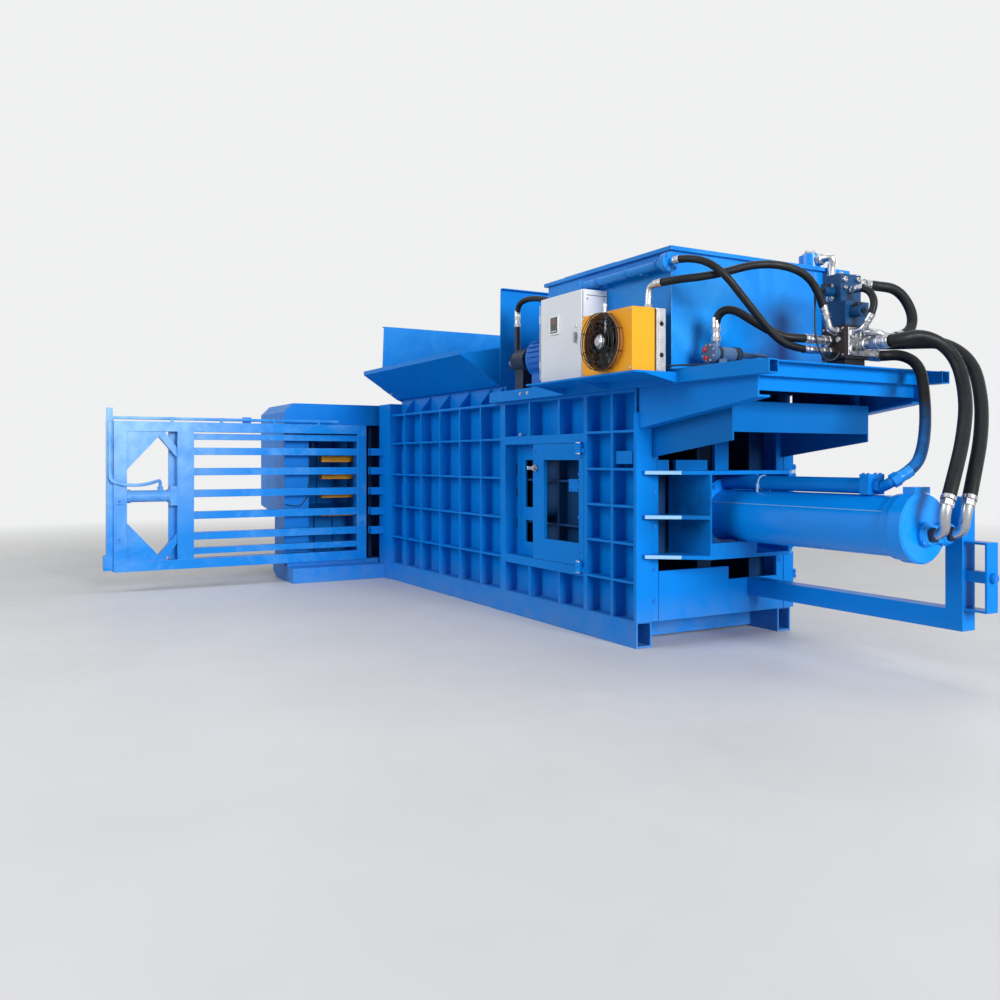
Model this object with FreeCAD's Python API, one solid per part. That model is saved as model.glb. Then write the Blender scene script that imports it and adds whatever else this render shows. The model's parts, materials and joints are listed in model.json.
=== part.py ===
"""Horizontal closed-gate recycling baler, built as its real pieces.

Frame: millimetres, +Z up, floor at z = 0.  +X runs along the machine from the
discharge mouth (x = 0) to the main cylinder, y = 0 is the machine's middle
plane, and -Y is the operator's side.  A long ribbed press body carries a feed
hopper, a platform with the oil tank, pump, cooler, cabinet and valves, and the
main cylinder at its rear end.  A barred gate stands open beside the mouth and
slides across it in front of the discharge portal.
"""
import FreeCAD, Part
import math
import os

os.makedirs("parts", exist_ok=True)
V = FreeCAD.Vector

# ---- clearances ---------------------------------------------------------
RUN_FIT = 0.05          # radial gap of a shaft that turns or slides in a bore
SEAT_GAP = 0.3          # gap beside a piece that is dropped into a seat
SLIDE_GAP = 4.0         # gap beside the big sliding plates
WELD = 12.0             # plate used for light weldments
HOSE_SIDES = 10         # flat sides of the section of a hose or a bent pipe

# ---- press body ---------------------------------------------------------
BODY_LENGTH = 4150.0
CHAMBER_WIDTH = 1116.0
WALL_PLATE = 16.0
RIB_DEPTH = 107.0
RIB_PLATE = 20.0
FLANGE_PLATE = 20.0
PLINTH_HEIGHT = 168.0
FLOOR_TOP = 240.0
FLOOR_PLATE = 40.0
ROOF_UNDER = 1500.0
ROOF_PLATE = 30.0
WALL_TOP = 1656.0
BAND_TOP = 1806.0
POST_WIDTH = 280.0
POST_PROUD = 22.0
POST_TOP = 1764.0
MOUTH_X = -96.0
RAM_BAY = 1870.0
FEED_LENGTH = 1200.0
FEED_END = BODY_LENGTH - RAM_BAY
FEED_START = FEED_END - FEED_LENGTH
LEFT_RIBS = tuple(MOUTH_X + POST_WIDTH + part * (FEED_END - MOUTH_X - POST_WIDTH)
                  for part in (0.147, 0.330, 0.525, 0.714, 0.897))
MID_RIBS = (BODY_LENGTH - 1306.0, BODY_LENGTH - 898.0)
RIGHT_RIBS = (BODY_LENGTH - 262.0,)
LEFT_LEVELS = (434.0, 744.0, 1056.0, 1364.0)
RIGHT_LEVELS = (414.0, 660.0, 900.0, 1140.0, 1386.0)
BAY_BOX_LENGTH = 175.0
BAY_BOX_Z = (1174.0, 1259.0)

HALF_IN = CHAMBER_WIDTH / 2
WALL_OUT = HALF_IN + WALL_PLATE
RIB_OUT = WALL_OUT + RIB_DEPTH

# ---- access opening in the operator's wall ------------------------------
ACCESS_X0 = BODY_LENGTH - 1750.0
ACCESS_X1 = ACCESS_X0 + 1205.0
ACCESS_Z0 = 397.0
ACCESS_Z1 = 1384.0
ACCESS_STILE = 76.0
HINGE_STILE = 40.0
ACCESS_RAIL = 64.0
HOLE_X0 = ACCESS_X0 + 212.0
HOLE_X1 = ACCESS_X0 + 960.0
HOLE_Z0 = 562.0
HOLE_Z1 = 1200.0
SLOT_BRIDGE = (731.0, 833.0)
DOOR_X0 = ACCESS_X0 + 497.0
DOOR_STILE = 150.0
DOOR_HINGE_STILE = 56.0
WINDOW_Z0 = 620.0
DOOR_PLATE = 30.0
DOOR_GAP = 3.0
HINGE_PIN_R = 14.0
HINGE_EYE_R = 26.0
HINGE_EYE = 34.0
LATCH_INSET = 48.0
LATCH_DROP = 60.0
LATCH_GRIP = 76.0

# ---- hopper --------------------------------------------------------------
HOPPER_X0 = 180.0
HOPPER_SHEET = 8.0
HOPPER_HALF = 621.0
FLAP_TOP_Y = 981.0
FLAP_TOP_Z = 2040.0
HOPPER_TOP = 2538.0
HOPPER_REAR_TOP = 2592.0
HOPPER_FLARE = 144.0
HOPPER_LIP = 36.0

# ---- gate and portal -----------------------------------------------------
GATE_DEPTH = 130.0
GATE_GAP = 24.0
GATE_Y0 = -3249.0
GATE_Y1 = -837.0
GATE_Z0 = 186.0
GATE_Z1 = 1554.0
GATE_STILE = 108.0
GATE_END_STILE = 96.0
GATE_MID_Y0 = -2697.0
GATE_MID_STILE = 144.0
GATE_RAIL = 90.0
BAR_HEIGHT = 70.0
BAR_DEPTH = 90.0
BAR_LEVELS = (485.0, 680.0, 885.0, 1090.0, 1282.0)
EDGE_BAR_LEVELS = (345.0, 1420.0)
EDGE_BAR_HEIGHT = 58.0
LOCK_LEVEL = 868.0
LOCK_BARREL_R = 62.0
LOCK_ROD_R = 28.0
LOCK_TRAVEL = 110.0
LOCK_BAR = 52.0
PORTAL_REAR = -1130.0
PORTAL_FRONT = -262.0
PORTAL_NEAR = -1650.0
PORTAL_FAR = 1107.0
PORTAL_TOP = 1770.0
PORTAL_BEAM_UNDER = 1560.0
COLUMN_WIDTH = 249.0
COLUMN_REAR = -602.0
COLUMN_STEP = 716.0
COLUMN_SLOPE = 76.0
SKID_HEIGHT = 144.0
SKID_NOSE = -663.0
TRACK_WIDTH = 60.0
TRACK_GAP = 0.5
ARM_LEVELS = (650.0, 840.0, 1034.0, 1210.0)
GUIDE_DEPTH = 127.0
GUIDE_WIDTH = 88.0
GUIDE_HEIGHT = 72.0

# ---- ram and main cylinder ----------------------------------------------
RAM_REST = FEED_END + 60.0
RAM_LENGTH = 1680.0
RAM_FACE = 60.0
RAM_UNDER_GAP = 4.0
RAM_SIDE_GAP = 6.0
RAM_PLATE = 20.0
KNIFE_HEIGHT = 40.0
KNIFE_DEPTH = 50.0
AXIS_Z = 842.0
BARREL_R = 166.0
BORE_R = 135.0
BARREL_X0 = BODY_LENGTH - 1270.0
BARREL_X1 = BODY_LENGTH + 1462.0
GLAND_LENGTH = 80.0
GLAND_R = 185.0
CAP_R = 190.0
CAP_LENGTH = 100.0
COLLAR_LENGTH = 44.0
ROD_R = 90.0
PISTON_LENGTH = 140.0
PISTON_REAR_GAP = 20.0
REAR_FRAME_LENGTH = 284.0
BULKHEAD = 30.0
SHELF_LEVELS = (589.0, 840.0, 1120.0)
SHELF_PLATE = 24.0
CHEEK_Y = 333.0
CHEEK_LEAD = 90.0
REAR_STRIP = 63.0
SILL_TOP = 400.0
SILL_STEP = 87.0
REAR_HEAD = 60.0
UPSTAND = 68.0

# ---- platform and what stands on it --------------------------------------
PLATFORM_X0 = FEED_END + 50.0
PLATFORM_X1 = BODY_LENGTH + 1190.0
PLATFORM_HALF = 743.0
TUBE = 70.0
TUBE_WALL = 6.0
PLATFORM_TUBE_H = 74.0
DECK = 8.0
BRACKET_TIP = BODY_LENGTH + 1050.0
BRACKET_ROOT_H = 256.0
BRACKET_TIP_H = 116.0
TRAY_HANGERS = (BODY_LENGTH + 230.0, BODY_LENGTH + 650.0)
TRAY_LENGTH = 716.0
TRAY_TOP = 1540.0
TRAY_DROP = 321.0
TRAY_TIP_DROP = 226.0
TRAY_END_DROP = 178.0
TANK_X0 = BODY_LENGTH - 934.0
TANK_X1 = TANK_X0 + 1350.0
TANK_HEIGHT = 703.0
TANK_WALL = 6.0
LID_OVERHANG = 25.0
LID_THICK = 24.0
CABINET_X0 = TANK_X0 + 204.0
CABINET_WIDTH = 503.0
CABINET_DEPTH = 202.0
CABINET_Y = -PLATFORM_HALF - CABINET_DEPTH
CABINET_HEIGHT = 583.0
CABINET_DOOR = 14.0
COOLER_X0 = TANK_X1 - 498.0
COOLER_WIDTH = 505.0
COOLER_DEPTH = 175.0
COOLER_HEIGHT = 372.0
CORE_DEPTH = 68.0
COOLER_GAP = 55.0
COOLER_Y = -PLATFORM_HALF - COOLER_GAP - CORE_DEPTH - COOLER_DEPTH
FAN_R = 158.0
DRUM_R = 165.0
DRUM_PROUD = 34.0
FAN_SHAFT_R = 9.0

PLATFORM_TOP = WALL_TOP + PLATFORM_TUBE_H
DECK_TOP = PLATFORM_TOP + DECK
SHELF_TOP = DECK_TOP - 21.0
FAN_X = COOLER_X0 + COOLER_WIDTH / 2
FAN_Z = SHELF_TOP + COOLER_HEIGHT / 2 + 2.0
TANK_TOP = DECK_TOP + TANK_HEIGHT
GATE_X1 = MOUTH_X - GATE_GAP
GATE_X0 = GATE_X1 - GATE_DEPTH


# ---- drawing helpers -------------------------------------------------------
def block(x0, x1, y0, y1, z0, z1):
    """Rectangular block between two corners."""
    return Part.makeBox(x1 - x0, y1 - y0, z1 - z0, V(x0, y0, z0))


def rod(axis, start, radius, length):
    """Round bar from start along +X, +Y or +Z ('x', 'y', 'z')."""
    direction = {"x": V(1, 0, 0), "y": V(0, 1, 0), "z": V(0, 0, 1)}[axis]
    return Part.makeCylinder(radius, length, V(*start), direction)


def ring(axis, start, outer, inner, length):
    """Round tube or washer along an axis."""
    return rod(axis, start, outer, length).cut(rod(axis, start, inner, length))


def prism(points, push):
    """Flat outline pushed along the vector push."""
    corners = [V(*p) for p in points]
    face = Part.Face(Part.makePolygon(corners + corners[:1]))
    return face.extrude(V(*push))


def plate_xz(outline, y0, y1):
    """Outline of (x, z) points, thick from y0 to y1."""
    return prism([(x, y0, z) for x, z in outline], (0, y1 - y0, 0))


def plate_yz(outline, x0, x1):
    """Outline of (y, z) points, thick from x0 to x1."""
    return prism([(x0, y, z) for y, z in outline], (x1 - x0, 0, 0))


def weld(pieces):
    """Pieces that are welded or cast as one solid."""
    whole = pieces[0].multiFuse(pieces[1:]) if len(pieces) > 1 else pieces[0]
    return whole.removeSplitter()


def across(shape):
    """The same piece on the other side of the middle plane."""
    return shape.mirror(V(0, 0, 0), V(0, 1, 0))


def save(node, *pieces):
    """Write one sub-part, as one solid or as a group of separate solids."""
    solids = [solid for piece in pieces for solid in piece.Solids]
    shape = solids[0] if len(solids) == 1 else Part.makeCompound(solids)
    shape.exportStep("parts/" + node + ".step")


def bent_path(points, share=0.45):
    """Straight runs joined by tangent arcs, as large as the runs allow."""
    corners = [V(*p) for p in points]
    edges, here, radii = [], corners[0], []
    for before, corner, after in zip(corners, corners[1:], corners[2:]):
        back = (before - corner).normalize()
        ahead = (after - corner).normalize()
        if back.getAngle(ahead) > math.pi - 0.002:
            continue
        shorter = min((before - corner).Length, (after - corner).Length)
        reach = share * shorter
        half_turn = (math.pi - back.getAngle(ahead)) / 2
        radius = reach / math.tan(half_turn)
        start, end = corner + back * reach, corner + ahead * reach
        bisector = (back + ahead).normalize()
        centre = corner + bisector * math.hypot(radius, reach)
        middle = centre - bisector * radius
        edges.append(Part.LineSegment(here, start).toShape())
        edges.append(Part.Arc(start, middle, end).toShape())
        here = end
        radii.append(radius)
    edges.append(Part.LineSegment(here, corners[-1]).toShape())
    return Part.Wire(edges), radii


def bent_tube(points, radius, share=0.45, sides=0):
    """Solid tube swept along a route of bends; round unless a count of flat sides is given."""
    path, radii = bent_path(points, share)
    first, second = V(*points[0]), V(*points[1])
    if sides:
        outline = [V(radius * math.cos(a), radius * math.sin(a), 0)
                   for a in (2 * math.pi * i / sides for i in range(sides))]
        section = Part.makePolygon(outline + outline[:1])
        section.Placement = FreeCAD.Placement(first, FreeCAD.Rotation(V(0, 0, 1), second - first))
    else:
        section = Part.Wire([Part.makeCircle(radius, first, second - first)])
    tube = path.makePipeShell([section], True, False)
    return tube, path.Length, radii


def hose(node, points, radius):
    """Hydraulic hose from fitting to fitting; prints its own proof."""
    tube, length, radii = bent_tube(points, radius, sides=HOSE_SIDES)
    section = HOSE_SIDES / 2 * radius ** 2 * math.sin(2 * math.pi / HOSE_SIDES)
    print(node, "length %.0f" % length, "bends", [round(r) for r in radii],
          "volume ratio %.4f" % (tube.Volume / (section * length)))
    save(node, tube)


# ---- press body --------------------------------------------------------------
def base_frame():
    """Skid beams, cross members and the chamber floor, welded."""
    def skid(side):
        outer = block(MOUTH_X + POST_WIDTH, BODY_LENGTH, HALF_IN, RIB_OUT, 0, PLINTH_HEIGHT)
        hollow = block(MOUTH_X, BODY_LENGTH + WELD, HALF_IN + WELD, RIB_OUT - WELD,
                       WELD, PLINTH_HEIGHT - WELD)
        beam = outer.cut(hollow)
        return beam if side > 0 else across(beam)

    under_floor = FLOOR_TOP - FLOOR_PLATE
    pieces = [skid(1), skid(-1), block(MOUTH_X, BODY_LENGTH, -HALF_IN, HALF_IN, under_floor, FLOOR_TOP)]
    bays = 6
    first, last = 2 * POST_WIDTH, BODY_LENGTH - POST_WIDTH
    for i in range(bays):
        x = first + (last - first) * i / (bays - 1)
        pieces.append(block(x - RIB_PLATE, x + RIB_PLATE, -HALF_IN, HALF_IN, WELD, under_floor))
    strip_front = MOUTH_X - GATE_GAP + SLIDE_GAP
    pieces.append(block(strip_front, MOUTH_X, -HALF_IN, HALF_IN, under_floor, FLOOR_TOP))
    pieces.append(block(MOUTH_X, MOUTH_X + POST_WIDTH + 2 * WELD, -HALF_IN, HALF_IN, 0, WELD))
    pieces.append(block(MOUTH_X, MOUTH_X + WELD, -HALF_IN, HALF_IN, 0, under_floor))
    save("base_frame", weld(pieces))


def corner_post():
    """Box post at the mouth with its foot gusset, far side."""
    post = block(MOUTH_X, MOUTH_X + POST_WIDTH, HALF_IN, RIB_OUT + POST_PROUD, 0, POST_TOP)
    core = block(MOUTH_X + 2 * WELD, MOUTH_X + POST_WIDTH - WELD, WALL_OUT + WELD,
                 RIB_OUT + POST_PROUD - WELD, WELD, POST_TOP - WELD)
    return post.cut(core)


def wall_ribs(xs, z0, z1):
    """Upright flat ribs on the far wall."""
    return [block(x - RIB_PLATE / 2, x + RIB_PLATE / 2, WALL_OUT, RIB_OUT, z0, z1) for x in xs]


def wall_levels(levels, x0, x1):
    """Level flat ribs on the far wall."""
    half = RIB_PLATE * 0.4
    return [block(x0, x1, WALL_OUT, RIB_OUT, z - half, z + half) for z in levels]


def ribbed_wall():
    """One chamber side with its ribs, drawn on the far side."""
    flange_under = WALL_TOP - FLANGE_PLATE
    post_back = MOUTH_X + POST_WIDTH
    pieces = [block(post_back, BODY_LENGTH, HALF_IN, WALL_OUT, PLINTH_HEIGHT, WALL_TOP),
              block(post_back, BODY_LENGTH, WALL_OUT, RIB_OUT, flange_under, WALL_TOP), corner_post()]
    pieces += wall_ribs(LEFT_RIBS + RIGHT_RIBS, PLINTH_HEIGHT, flange_under)
    pieces.append(block(BODY_LENGTH - RIB_PLATE, BODY_LENGTH, WALL_OUT, RIB_OUT,
                        PLINTH_HEIGHT, flange_under))
    pieces += wall_levels(LEFT_LEVELS, post_back, ACCESS_X0)
    pieces += wall_levels(RIGHT_LEVELS, ACCESS_X1, BODY_LENGTH)
    return pieces, flange_under


def far_side_wall():
    """Plain far wall: the rib pattern runs on across the middle."""
    pieces, flange_under = ribbed_wall()
    pieces += wall_ribs((ACCESS_X0,) + MID_RIBS + (ACCESS_X1,), PLINTH_HEIGHT, flange_under)
    pieces += wall_levels(LEFT_LEVELS, ACCESS_X0, ACCESS_X1)
    save("far_side_wall", weld(pieces))


def access_frame():
    """Stiles and rails round the access opening, drawn on the far side."""
    pieces = [block(ACCESS_X0, ACCESS_X0 + ACCESS_STILE, WALL_OUT, RIB_OUT, PLINTH_HEIGHT,
                    WALL_TOP - FLANGE_PLATE),
              block(ACCESS_X1 - HINGE_STILE, ACCESS_X1, WALL_OUT, RIB_OUT, PLINTH_HEIGHT,
                    WALL_TOP - FLANGE_PLATE),
              block(ACCESS_X0, ACCESS_X1, WALL_OUT, RIB_OUT, ACCESS_Z0, ACCESS_Z0 + ACCESS_RAIL),
              block(ACCESS_X0, ACCESS_X1, WALL_OUT, RIB_OUT, ACCESS_Z1 - ACCESS_RAIL, ACCESS_Z1)]
    pieces += wall_ribs(MID_RIBS, PLINTH_HEIGHT, ACCESS_Z0)
    pieces += wall_ribs(MID_RIBS, ACCESS_Z1, WALL_TOP - FLANGE_PLATE)
    box_x0 = RIGHT_RIBS[-1] + RIB_PLATE
    low, high = BAY_BOX_Z
    pieces.append(block(box_x0, box_x0 + BAY_BOX_LENGTH, WALL_OUT, RIB_OUT - RIB_PLATE, low, high))
    pieces.append(block(box_x0 + BAY_BOX_LENGTH, BODY_LENGTH, WALL_OUT, RIB_OUT - 2 * RIB_PLATE,
                        low + 2 * WELD, high - 2 * WELD))
    return pieces


def wall_hole():
    """Hole behind the door and beside it, where a tongue leaves two slots, drawn on the far side."""
    low, high = SLOT_BRIDGE
    y0, y1 = HALF_IN - WELD, WALL_OUT + WELD / 2
    hole = block(HOLE_X0, HOLE_X1, y0, y1, HOLE_Z0, HOLE_Z1)
    return hole.cut(block(HOLE_X0, DOOR_X0, y0, y1, low, high))


def hinge_x():
    """The access door swings about this upright line."""
    return ACCESS_X1 - HINGE_STILE - DOOR_GAP - HINGE_EYE_R


def hinge_y():
    """Distance of the hinge line from the middle plane."""
    return RIB_OUT + HINGE_EYE_R + 1.0


def hinge_heights():
    """Lower faces of the door's hinge eyes."""
    inset = ACCESS_RAIL + DOOR_GAP
    return (ACCESS_Z0 + inset, ACCESS_Z1 - inset - HINGE_EYE)


def near_side_wall():
    """Operator's wall with the access opening and the fixed hinge eyes."""
    pieces, _ = ribbed_wall()
    wall = weld(pieces + access_frame())
    wall = wall.cut(wall_hole())
    eyes = []
    for low in hinge_heights():
        z = low - HINGE_EYE - 1.0
        eye = rod("z", (hinge_x(), hinge_y(), z), HINGE_EYE_R, HINGE_EYE)
        arm = block(hinge_x(), ACCESS_X1 - HINGE_STILE / 2, RIB_OUT, RIB_OUT + DOOR_PLATE / 2, z, z + HINGE_EYE)
        bore = rod("z", (hinge_x(), hinge_y(), z), HINGE_PIN_R, HINGE_EYE)
        eyes.append(eye.fuse(arm).cut(bore))
    save("near_side_wall", across(weld([wall] + eyes)))
    pins = [rod("z", (hinge_x(), -hinge_y(), low - HINGE_EYE - 1.0), HINGE_PIN_R, 2 * HINGE_EYE + 1.0)
            for low in hinge_heights()]
    save("access_hinge_pins", *pins)


def access_door():
    """Framed door leaf with an open window, hung on two pins."""
    x1 = ACCESS_X1 - HINGE_STILE - DOOR_GAP
    z0, z1 = ACCESS_Z0 + ACCESS_RAIL + DOOR_GAP, ACCESS_Z1 - ACCESS_RAIL - DOOR_GAP
    back, front = -(RIB_OUT - DOOR_PLATE), -RIB_OUT
    leaf = block(DOOR_X0, x1, front, back, z0, z1)
    window_x1, mid_z = x1 - DOOR_HINGE_STILE, (ACCESS_Z0 + ACCESS_Z1) / 2
    window = block(DOOR_X0 + DOOR_STILE, window_x1, front - 1, back + 1, WINDOW_Z0, HOLE_Z1)
    tab = block(window_x1 - 0.9 * DOOR_STILE, window_x1, front + WELD / 2, front + 1.5 * WELD,
                mid_z + BAY_BOX_LENGTH / 2, mid_z + BAY_BOX_LENGTH)
    leaf = leaf.cut(window).fuse(tab)
    eyes = []
    for low in hinge_heights():
        eye = rod("z", (hinge_x(), -hinge_y(), low), HINGE_EYE_R, HINGE_EYE)
        arm = block(hinge_x() - 2 * HINGE_EYE_R, hinge_x(), -RIB_OUT - DOOR_PLATE / 2, -RIB_OUT, low, low + HINGE_EYE)
        bore = rod("z", (hinge_x(), -hinge_y(), low), HINGE_PIN_R + RUN_FIT, HINGE_EYE)
        eyes.append(eye.fuse(arm).cut(bore))
    leaf = weld([leaf] + eyes)
    spindle_x, spindle_z = DOOR_X0 + LATCH_INSET, HOLE_Z1 - LATCH_DROP
    spindle_hole = rod("y", (spindle_x, front - 1, spindle_z), HINGE_PIN_R + RUN_FIT, DOOR_PLATE + 2)
    save("access_door", leaf.cut(spindle_hole))

    spindle = rod("y", (spindle_x, front - DOOR_PLATE, spindle_z), HINGE_PIN_R, 2 * DOOR_PLATE)
    collar = rod("y", (spindle_x, front - 0.5 * DOOR_PLATE, spindle_z), HINGE_EYE_R, 0.5 * DOOR_PLATE - 0.5)
    grip = block(spindle_x - LATCH_GRIP, spindle_x, front - DOOR_PLATE, front - 0.5 * DOOR_PLATE,
                 spindle_z - WELD, spindle_z + WELD)
    save("door_latch", weld([spindle, collar, grip]))


def body_roof():
    """Roof plates, hopper floor slope and the gusseted band under the hopper."""
    roof_top = ROOF_UNDER + ROOF_PLATE
    strip_front = MOUTH_X - GATE_GAP + SLIDE_GAP
    pieces = [block(MOUTH_X, FEED_START, -HALF_IN, HALF_IN, ROOF_UNDER, roof_top),
              block(FEED_END, BODY_LENGTH, -HALF_IN, HALF_IN, ROOF_UNDER, roof_top),
              block(strip_front, MOUTH_X, -HALF_IN, HALF_IN, roof_top - WELD, roof_top + ROOF_PLATE),
              block(MOUTH_X, MOUTH_X + 2 * WELD, -HALF_IN, HALF_IN, roof_top, POST_TOP),
              block(MOUTH_X, HOPPER_X0, -HALF_IN, HALF_IN, POST_TOP - WELD, POST_TOP),
              block(HOPPER_X0 - WELD, HOPPER_X0 + WELD, -HALF_IN, HALF_IN, POST_TOP - WELD, BAND_TOP - 2 * WELD),
              block(FEED_END, FEED_END + 2 * WELD, -HALF_IN, HALF_IN, roof_top, BAND_TOP)]
    slope = [(HOPPER_X0, BAND_TOP), (FEED_START, roof_top), (FEED_START - 2 * WELD, roof_top),
             (HOPPER_X0, BAND_TOP - 2 * WELD)]
    pieces.append(plate_xz(slope, -HALF_IN, HALF_IN))
    post_back = MOUTH_X + POST_WIDTH
    for side in (1, -1):
        band = [block(post_back, FEED_END + 2 * WELD, HALF_IN, WALL_OUT, WALL_TOP, BAND_TOP)]
        for x in LEFT_RIBS + (FEED_END - WELD,):
            tooth = [(WALL_OUT, WALL_TOP), (RIB_OUT, WALL_TOP), (RIB_OUT, WALL_TOP + WELD),
                     (WALL_OUT, BAND_TOP - WELD)]
            band.append(plate_yz(tooth, x - WELD / 2, x + WELD / 2))
        pieces += band if side > 0 else [across(b) for b in band]
    save("body_roof", weld(pieces))


def fixed_knife():
    """Bolted shear blade on the front edge of the feed opening."""
    low = ROOF_UNDER - RAM_UNDER_GAP + 1.0
    blade = block(FEED_START, FEED_START + KNIFE_DEPTH, -HALF_IN, HALF_IN, low, low + KNIFE_HEIGHT)
    save("fixed_knife", blade)


def rear_shelf(z, x0, x1):
    """Shelf outside a cheek, its free edge running out to the post, far side."""
    cheek, post = CHEEK_Y + WELD, RIB_OUT - POST_PROUD
    outline = [(x0, cheek), (x1, cheek), (x0 + BULKHEAD, post), (x0, post)]
    return prism([(x, y, z - SHELF_PLATE / 2) for x, y in outline], (0, 0, SHELF_PLATE))


def rear_posts(x0, x1):
    """Posts with their bolted strips; the far post has two lugs."""
    post_in = WALL_OUT + WELD
    strip_x = x1 - WELD / 2
    far = [block(x0, strip_x, post_in - REAR_STRIP, post_in, PLINTH_HEIGHT, ROOF_UNDER),
           block(x0, x1, post_in, RIB_OUT, PLINTH_HEIGHT, ROOF_UNDER)]
    near = [across(piece) for piece in far]
    near.append(block(x0, x1, -RIB_OUT - POST_PROUD, -RIB_OUT, PLINTH_HEIGHT, ROOF_UNDER))
    for z, height in ((SILL_TOP, UPSTAND), (SHELF_LEVELS[-1], 1.5 * UPSTAND)):
        far.append(block(x0, x1, RIB_OUT, RIB_OUT + POST_PROUD, z - height / 2, z + height / 2))
    return far + near


def rear_frame():
    """Open rear frame: posts, sill, head and the boxed shelves that hold the main cylinder."""
    x0, x1 = BODY_LENGTH, BODY_LENGTH + BULKHEAD
    tip = x1 + REAR_FRAME_LENGTH
    half = SHELF_PLATE / 2
    low, high = SHELF_LEVELS[0] - half, SHELF_LEVELS[-1] + half
    cheek = CHEEK_Y + WELD
    inner = WALL_OUT + WELD - REAR_STRIP
    boxes = [rear_shelf(z, x1, tip) for z in SHELF_LEVELS]
    boxes.append(block(x0 - CHEEK_LEAD, tip, CHEEK_Y, cheek, low, high))
    boxes += [across(piece) for piece in boxes]
    boxes += [block(x1, tip, -CHEEK_Y, CHEEK_Y, z - half, z + half) for z in (SHELF_LEVELS[0], SHELF_LEVELS[-1])]
    web_z = AXIS_Z + BARREL_R + SEAT_GAP
    plates = [block(x0, x1, -cheek, cheek, low, high),
              block(tip - SHELF_PLATE, tip, -CHEEK_Y, 2 * SHELF_PLATE, low, low + 1.5 * UPSTAND),
              block(tip - SHELF_PLATE, tip, 2 * SHELF_PLATE, 2 * SHELF_PLATE + WELD, web_z, high),
              block(x0, x1, -inner, inner, PLINTH_HEIGHT, SILL_TOP),
              block(x0, x1, -inner, 3 * SHELF_PLATE, SILL_TOP, SILL_TOP + SILL_STEP),
              block(x0, x1, -inner, inner, ROOF_UNDER - REAR_HEAD, ROOF_UNDER),
              block(x0, x1, -2 * SHELF_PLATE, 3 * SHELF_PLATE, high, ROOF_UNDER),
              block(x0, x1, -cheek - 3 * WELD, -cheek / 3, high - SHELF_PLATE, high + UPSTAND),
              block(x0, x1, -inner - WELD, -cheek - 8 * WELD, high - SHELF_PLATE, high + UPSTAND)]
    seat = rod("x", (x0, 0, AXIS_Z), BARREL_R + SEAT_GAP, tip - x0)
    save("rear_frame", weld(boxes + plates + rear_posts(x0, x1)).cut(seat))


# ---- hopper -------------------------------------------------------------------
def hopper():
    """Four sheet walls round the feed opening."""
    t = HOPPER_SHEET
    half, x0, x1 = HOPPER_HALF, HOPPER_X0, FEED_END
    seat = BAND_TOP
    rise = (FLAP_TOP_Z - seat) / (FLAP_TOP_Y - half)
    end_y = half + HOPPER_FLARE
    meet_y = end_y + 3 * t
    meet_z = seat + rise * (meet_y - half)
    end = [(-HALF_IN, seat - 2 * WELD), (-half, seat), (-meet_y, meet_z), (-end_y, HOPPER_TOP),
           (end_y, HOPPER_TOP), (half, seat), (HALF_IN, seat - 2 * WELD)]
    end_wall = plate_yz(end, x0 - t, x0)
    lip = block(x0 - t - HOPPER_LIP, x0 - t, -end_y, end_y, HOPPER_TOP - t, HOPPER_TOP)
    eye = rod("x", (x0 - t, HOPPER_FLARE, (seat + HOPPER_TOP) / 2 + HOPPER_FLARE), 0.25 * HOPPER_LIP, t)
    save("hopper_end_wall", weld([end_wall, lip]).cut(eye))

    flap = [(-half, seat), (-FLAP_TOP_Y, FLAP_TOP_Z), (-FLAP_TOP_Y, FLAP_TOP_Z + HOPPER_LIP),
            (-FLAP_TOP_Y + t, FLAP_TOP_Z + HOPPER_LIP), (-FLAP_TOP_Y + t, FLAP_TOP_Z + t),
            (-half + t, seat + t), (-HALF_IN, seat + t), (-HALF_IN, seat)]
    cheek = [(-half, seat + t), (-FLAP_TOP_Y + t, FLAP_TOP_Z + t), (-half, FLAP_TOP_Z + 2 * HOPPER_LIP)]
    save("hopper_near_flap", weld([plate_yz(flap, x0, x1), plate_yz(cheek, x1 - t, x1)]))

    rear = [(-half, seat), (-half + t, HOPPER_REAR_TOP), (end_y, HOPPER_REAR_TOP), (half, seat)]
    rear_lip = block(x1 + t, x1 + t + HOPPER_LIP, -half + t, end_y, HOPPER_REAR_TOP - t, HOPPER_REAR_TOP)
    save("hopper_rear_wall", weld([plate_yz(rear, x1, x1 + t), rear_lip]))

    far = [(half - t, seat), (half, seat), (end_y, HOPPER_TOP), (end_y - t, HOPPER_TOP)]
    foot = block(x0, x1, WALL_OUT - WALL_PLATE, half, seat, seat + t)
    save("hopper_far_wall", weld([plate_yz(far, x0, x1), foot]))


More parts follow.
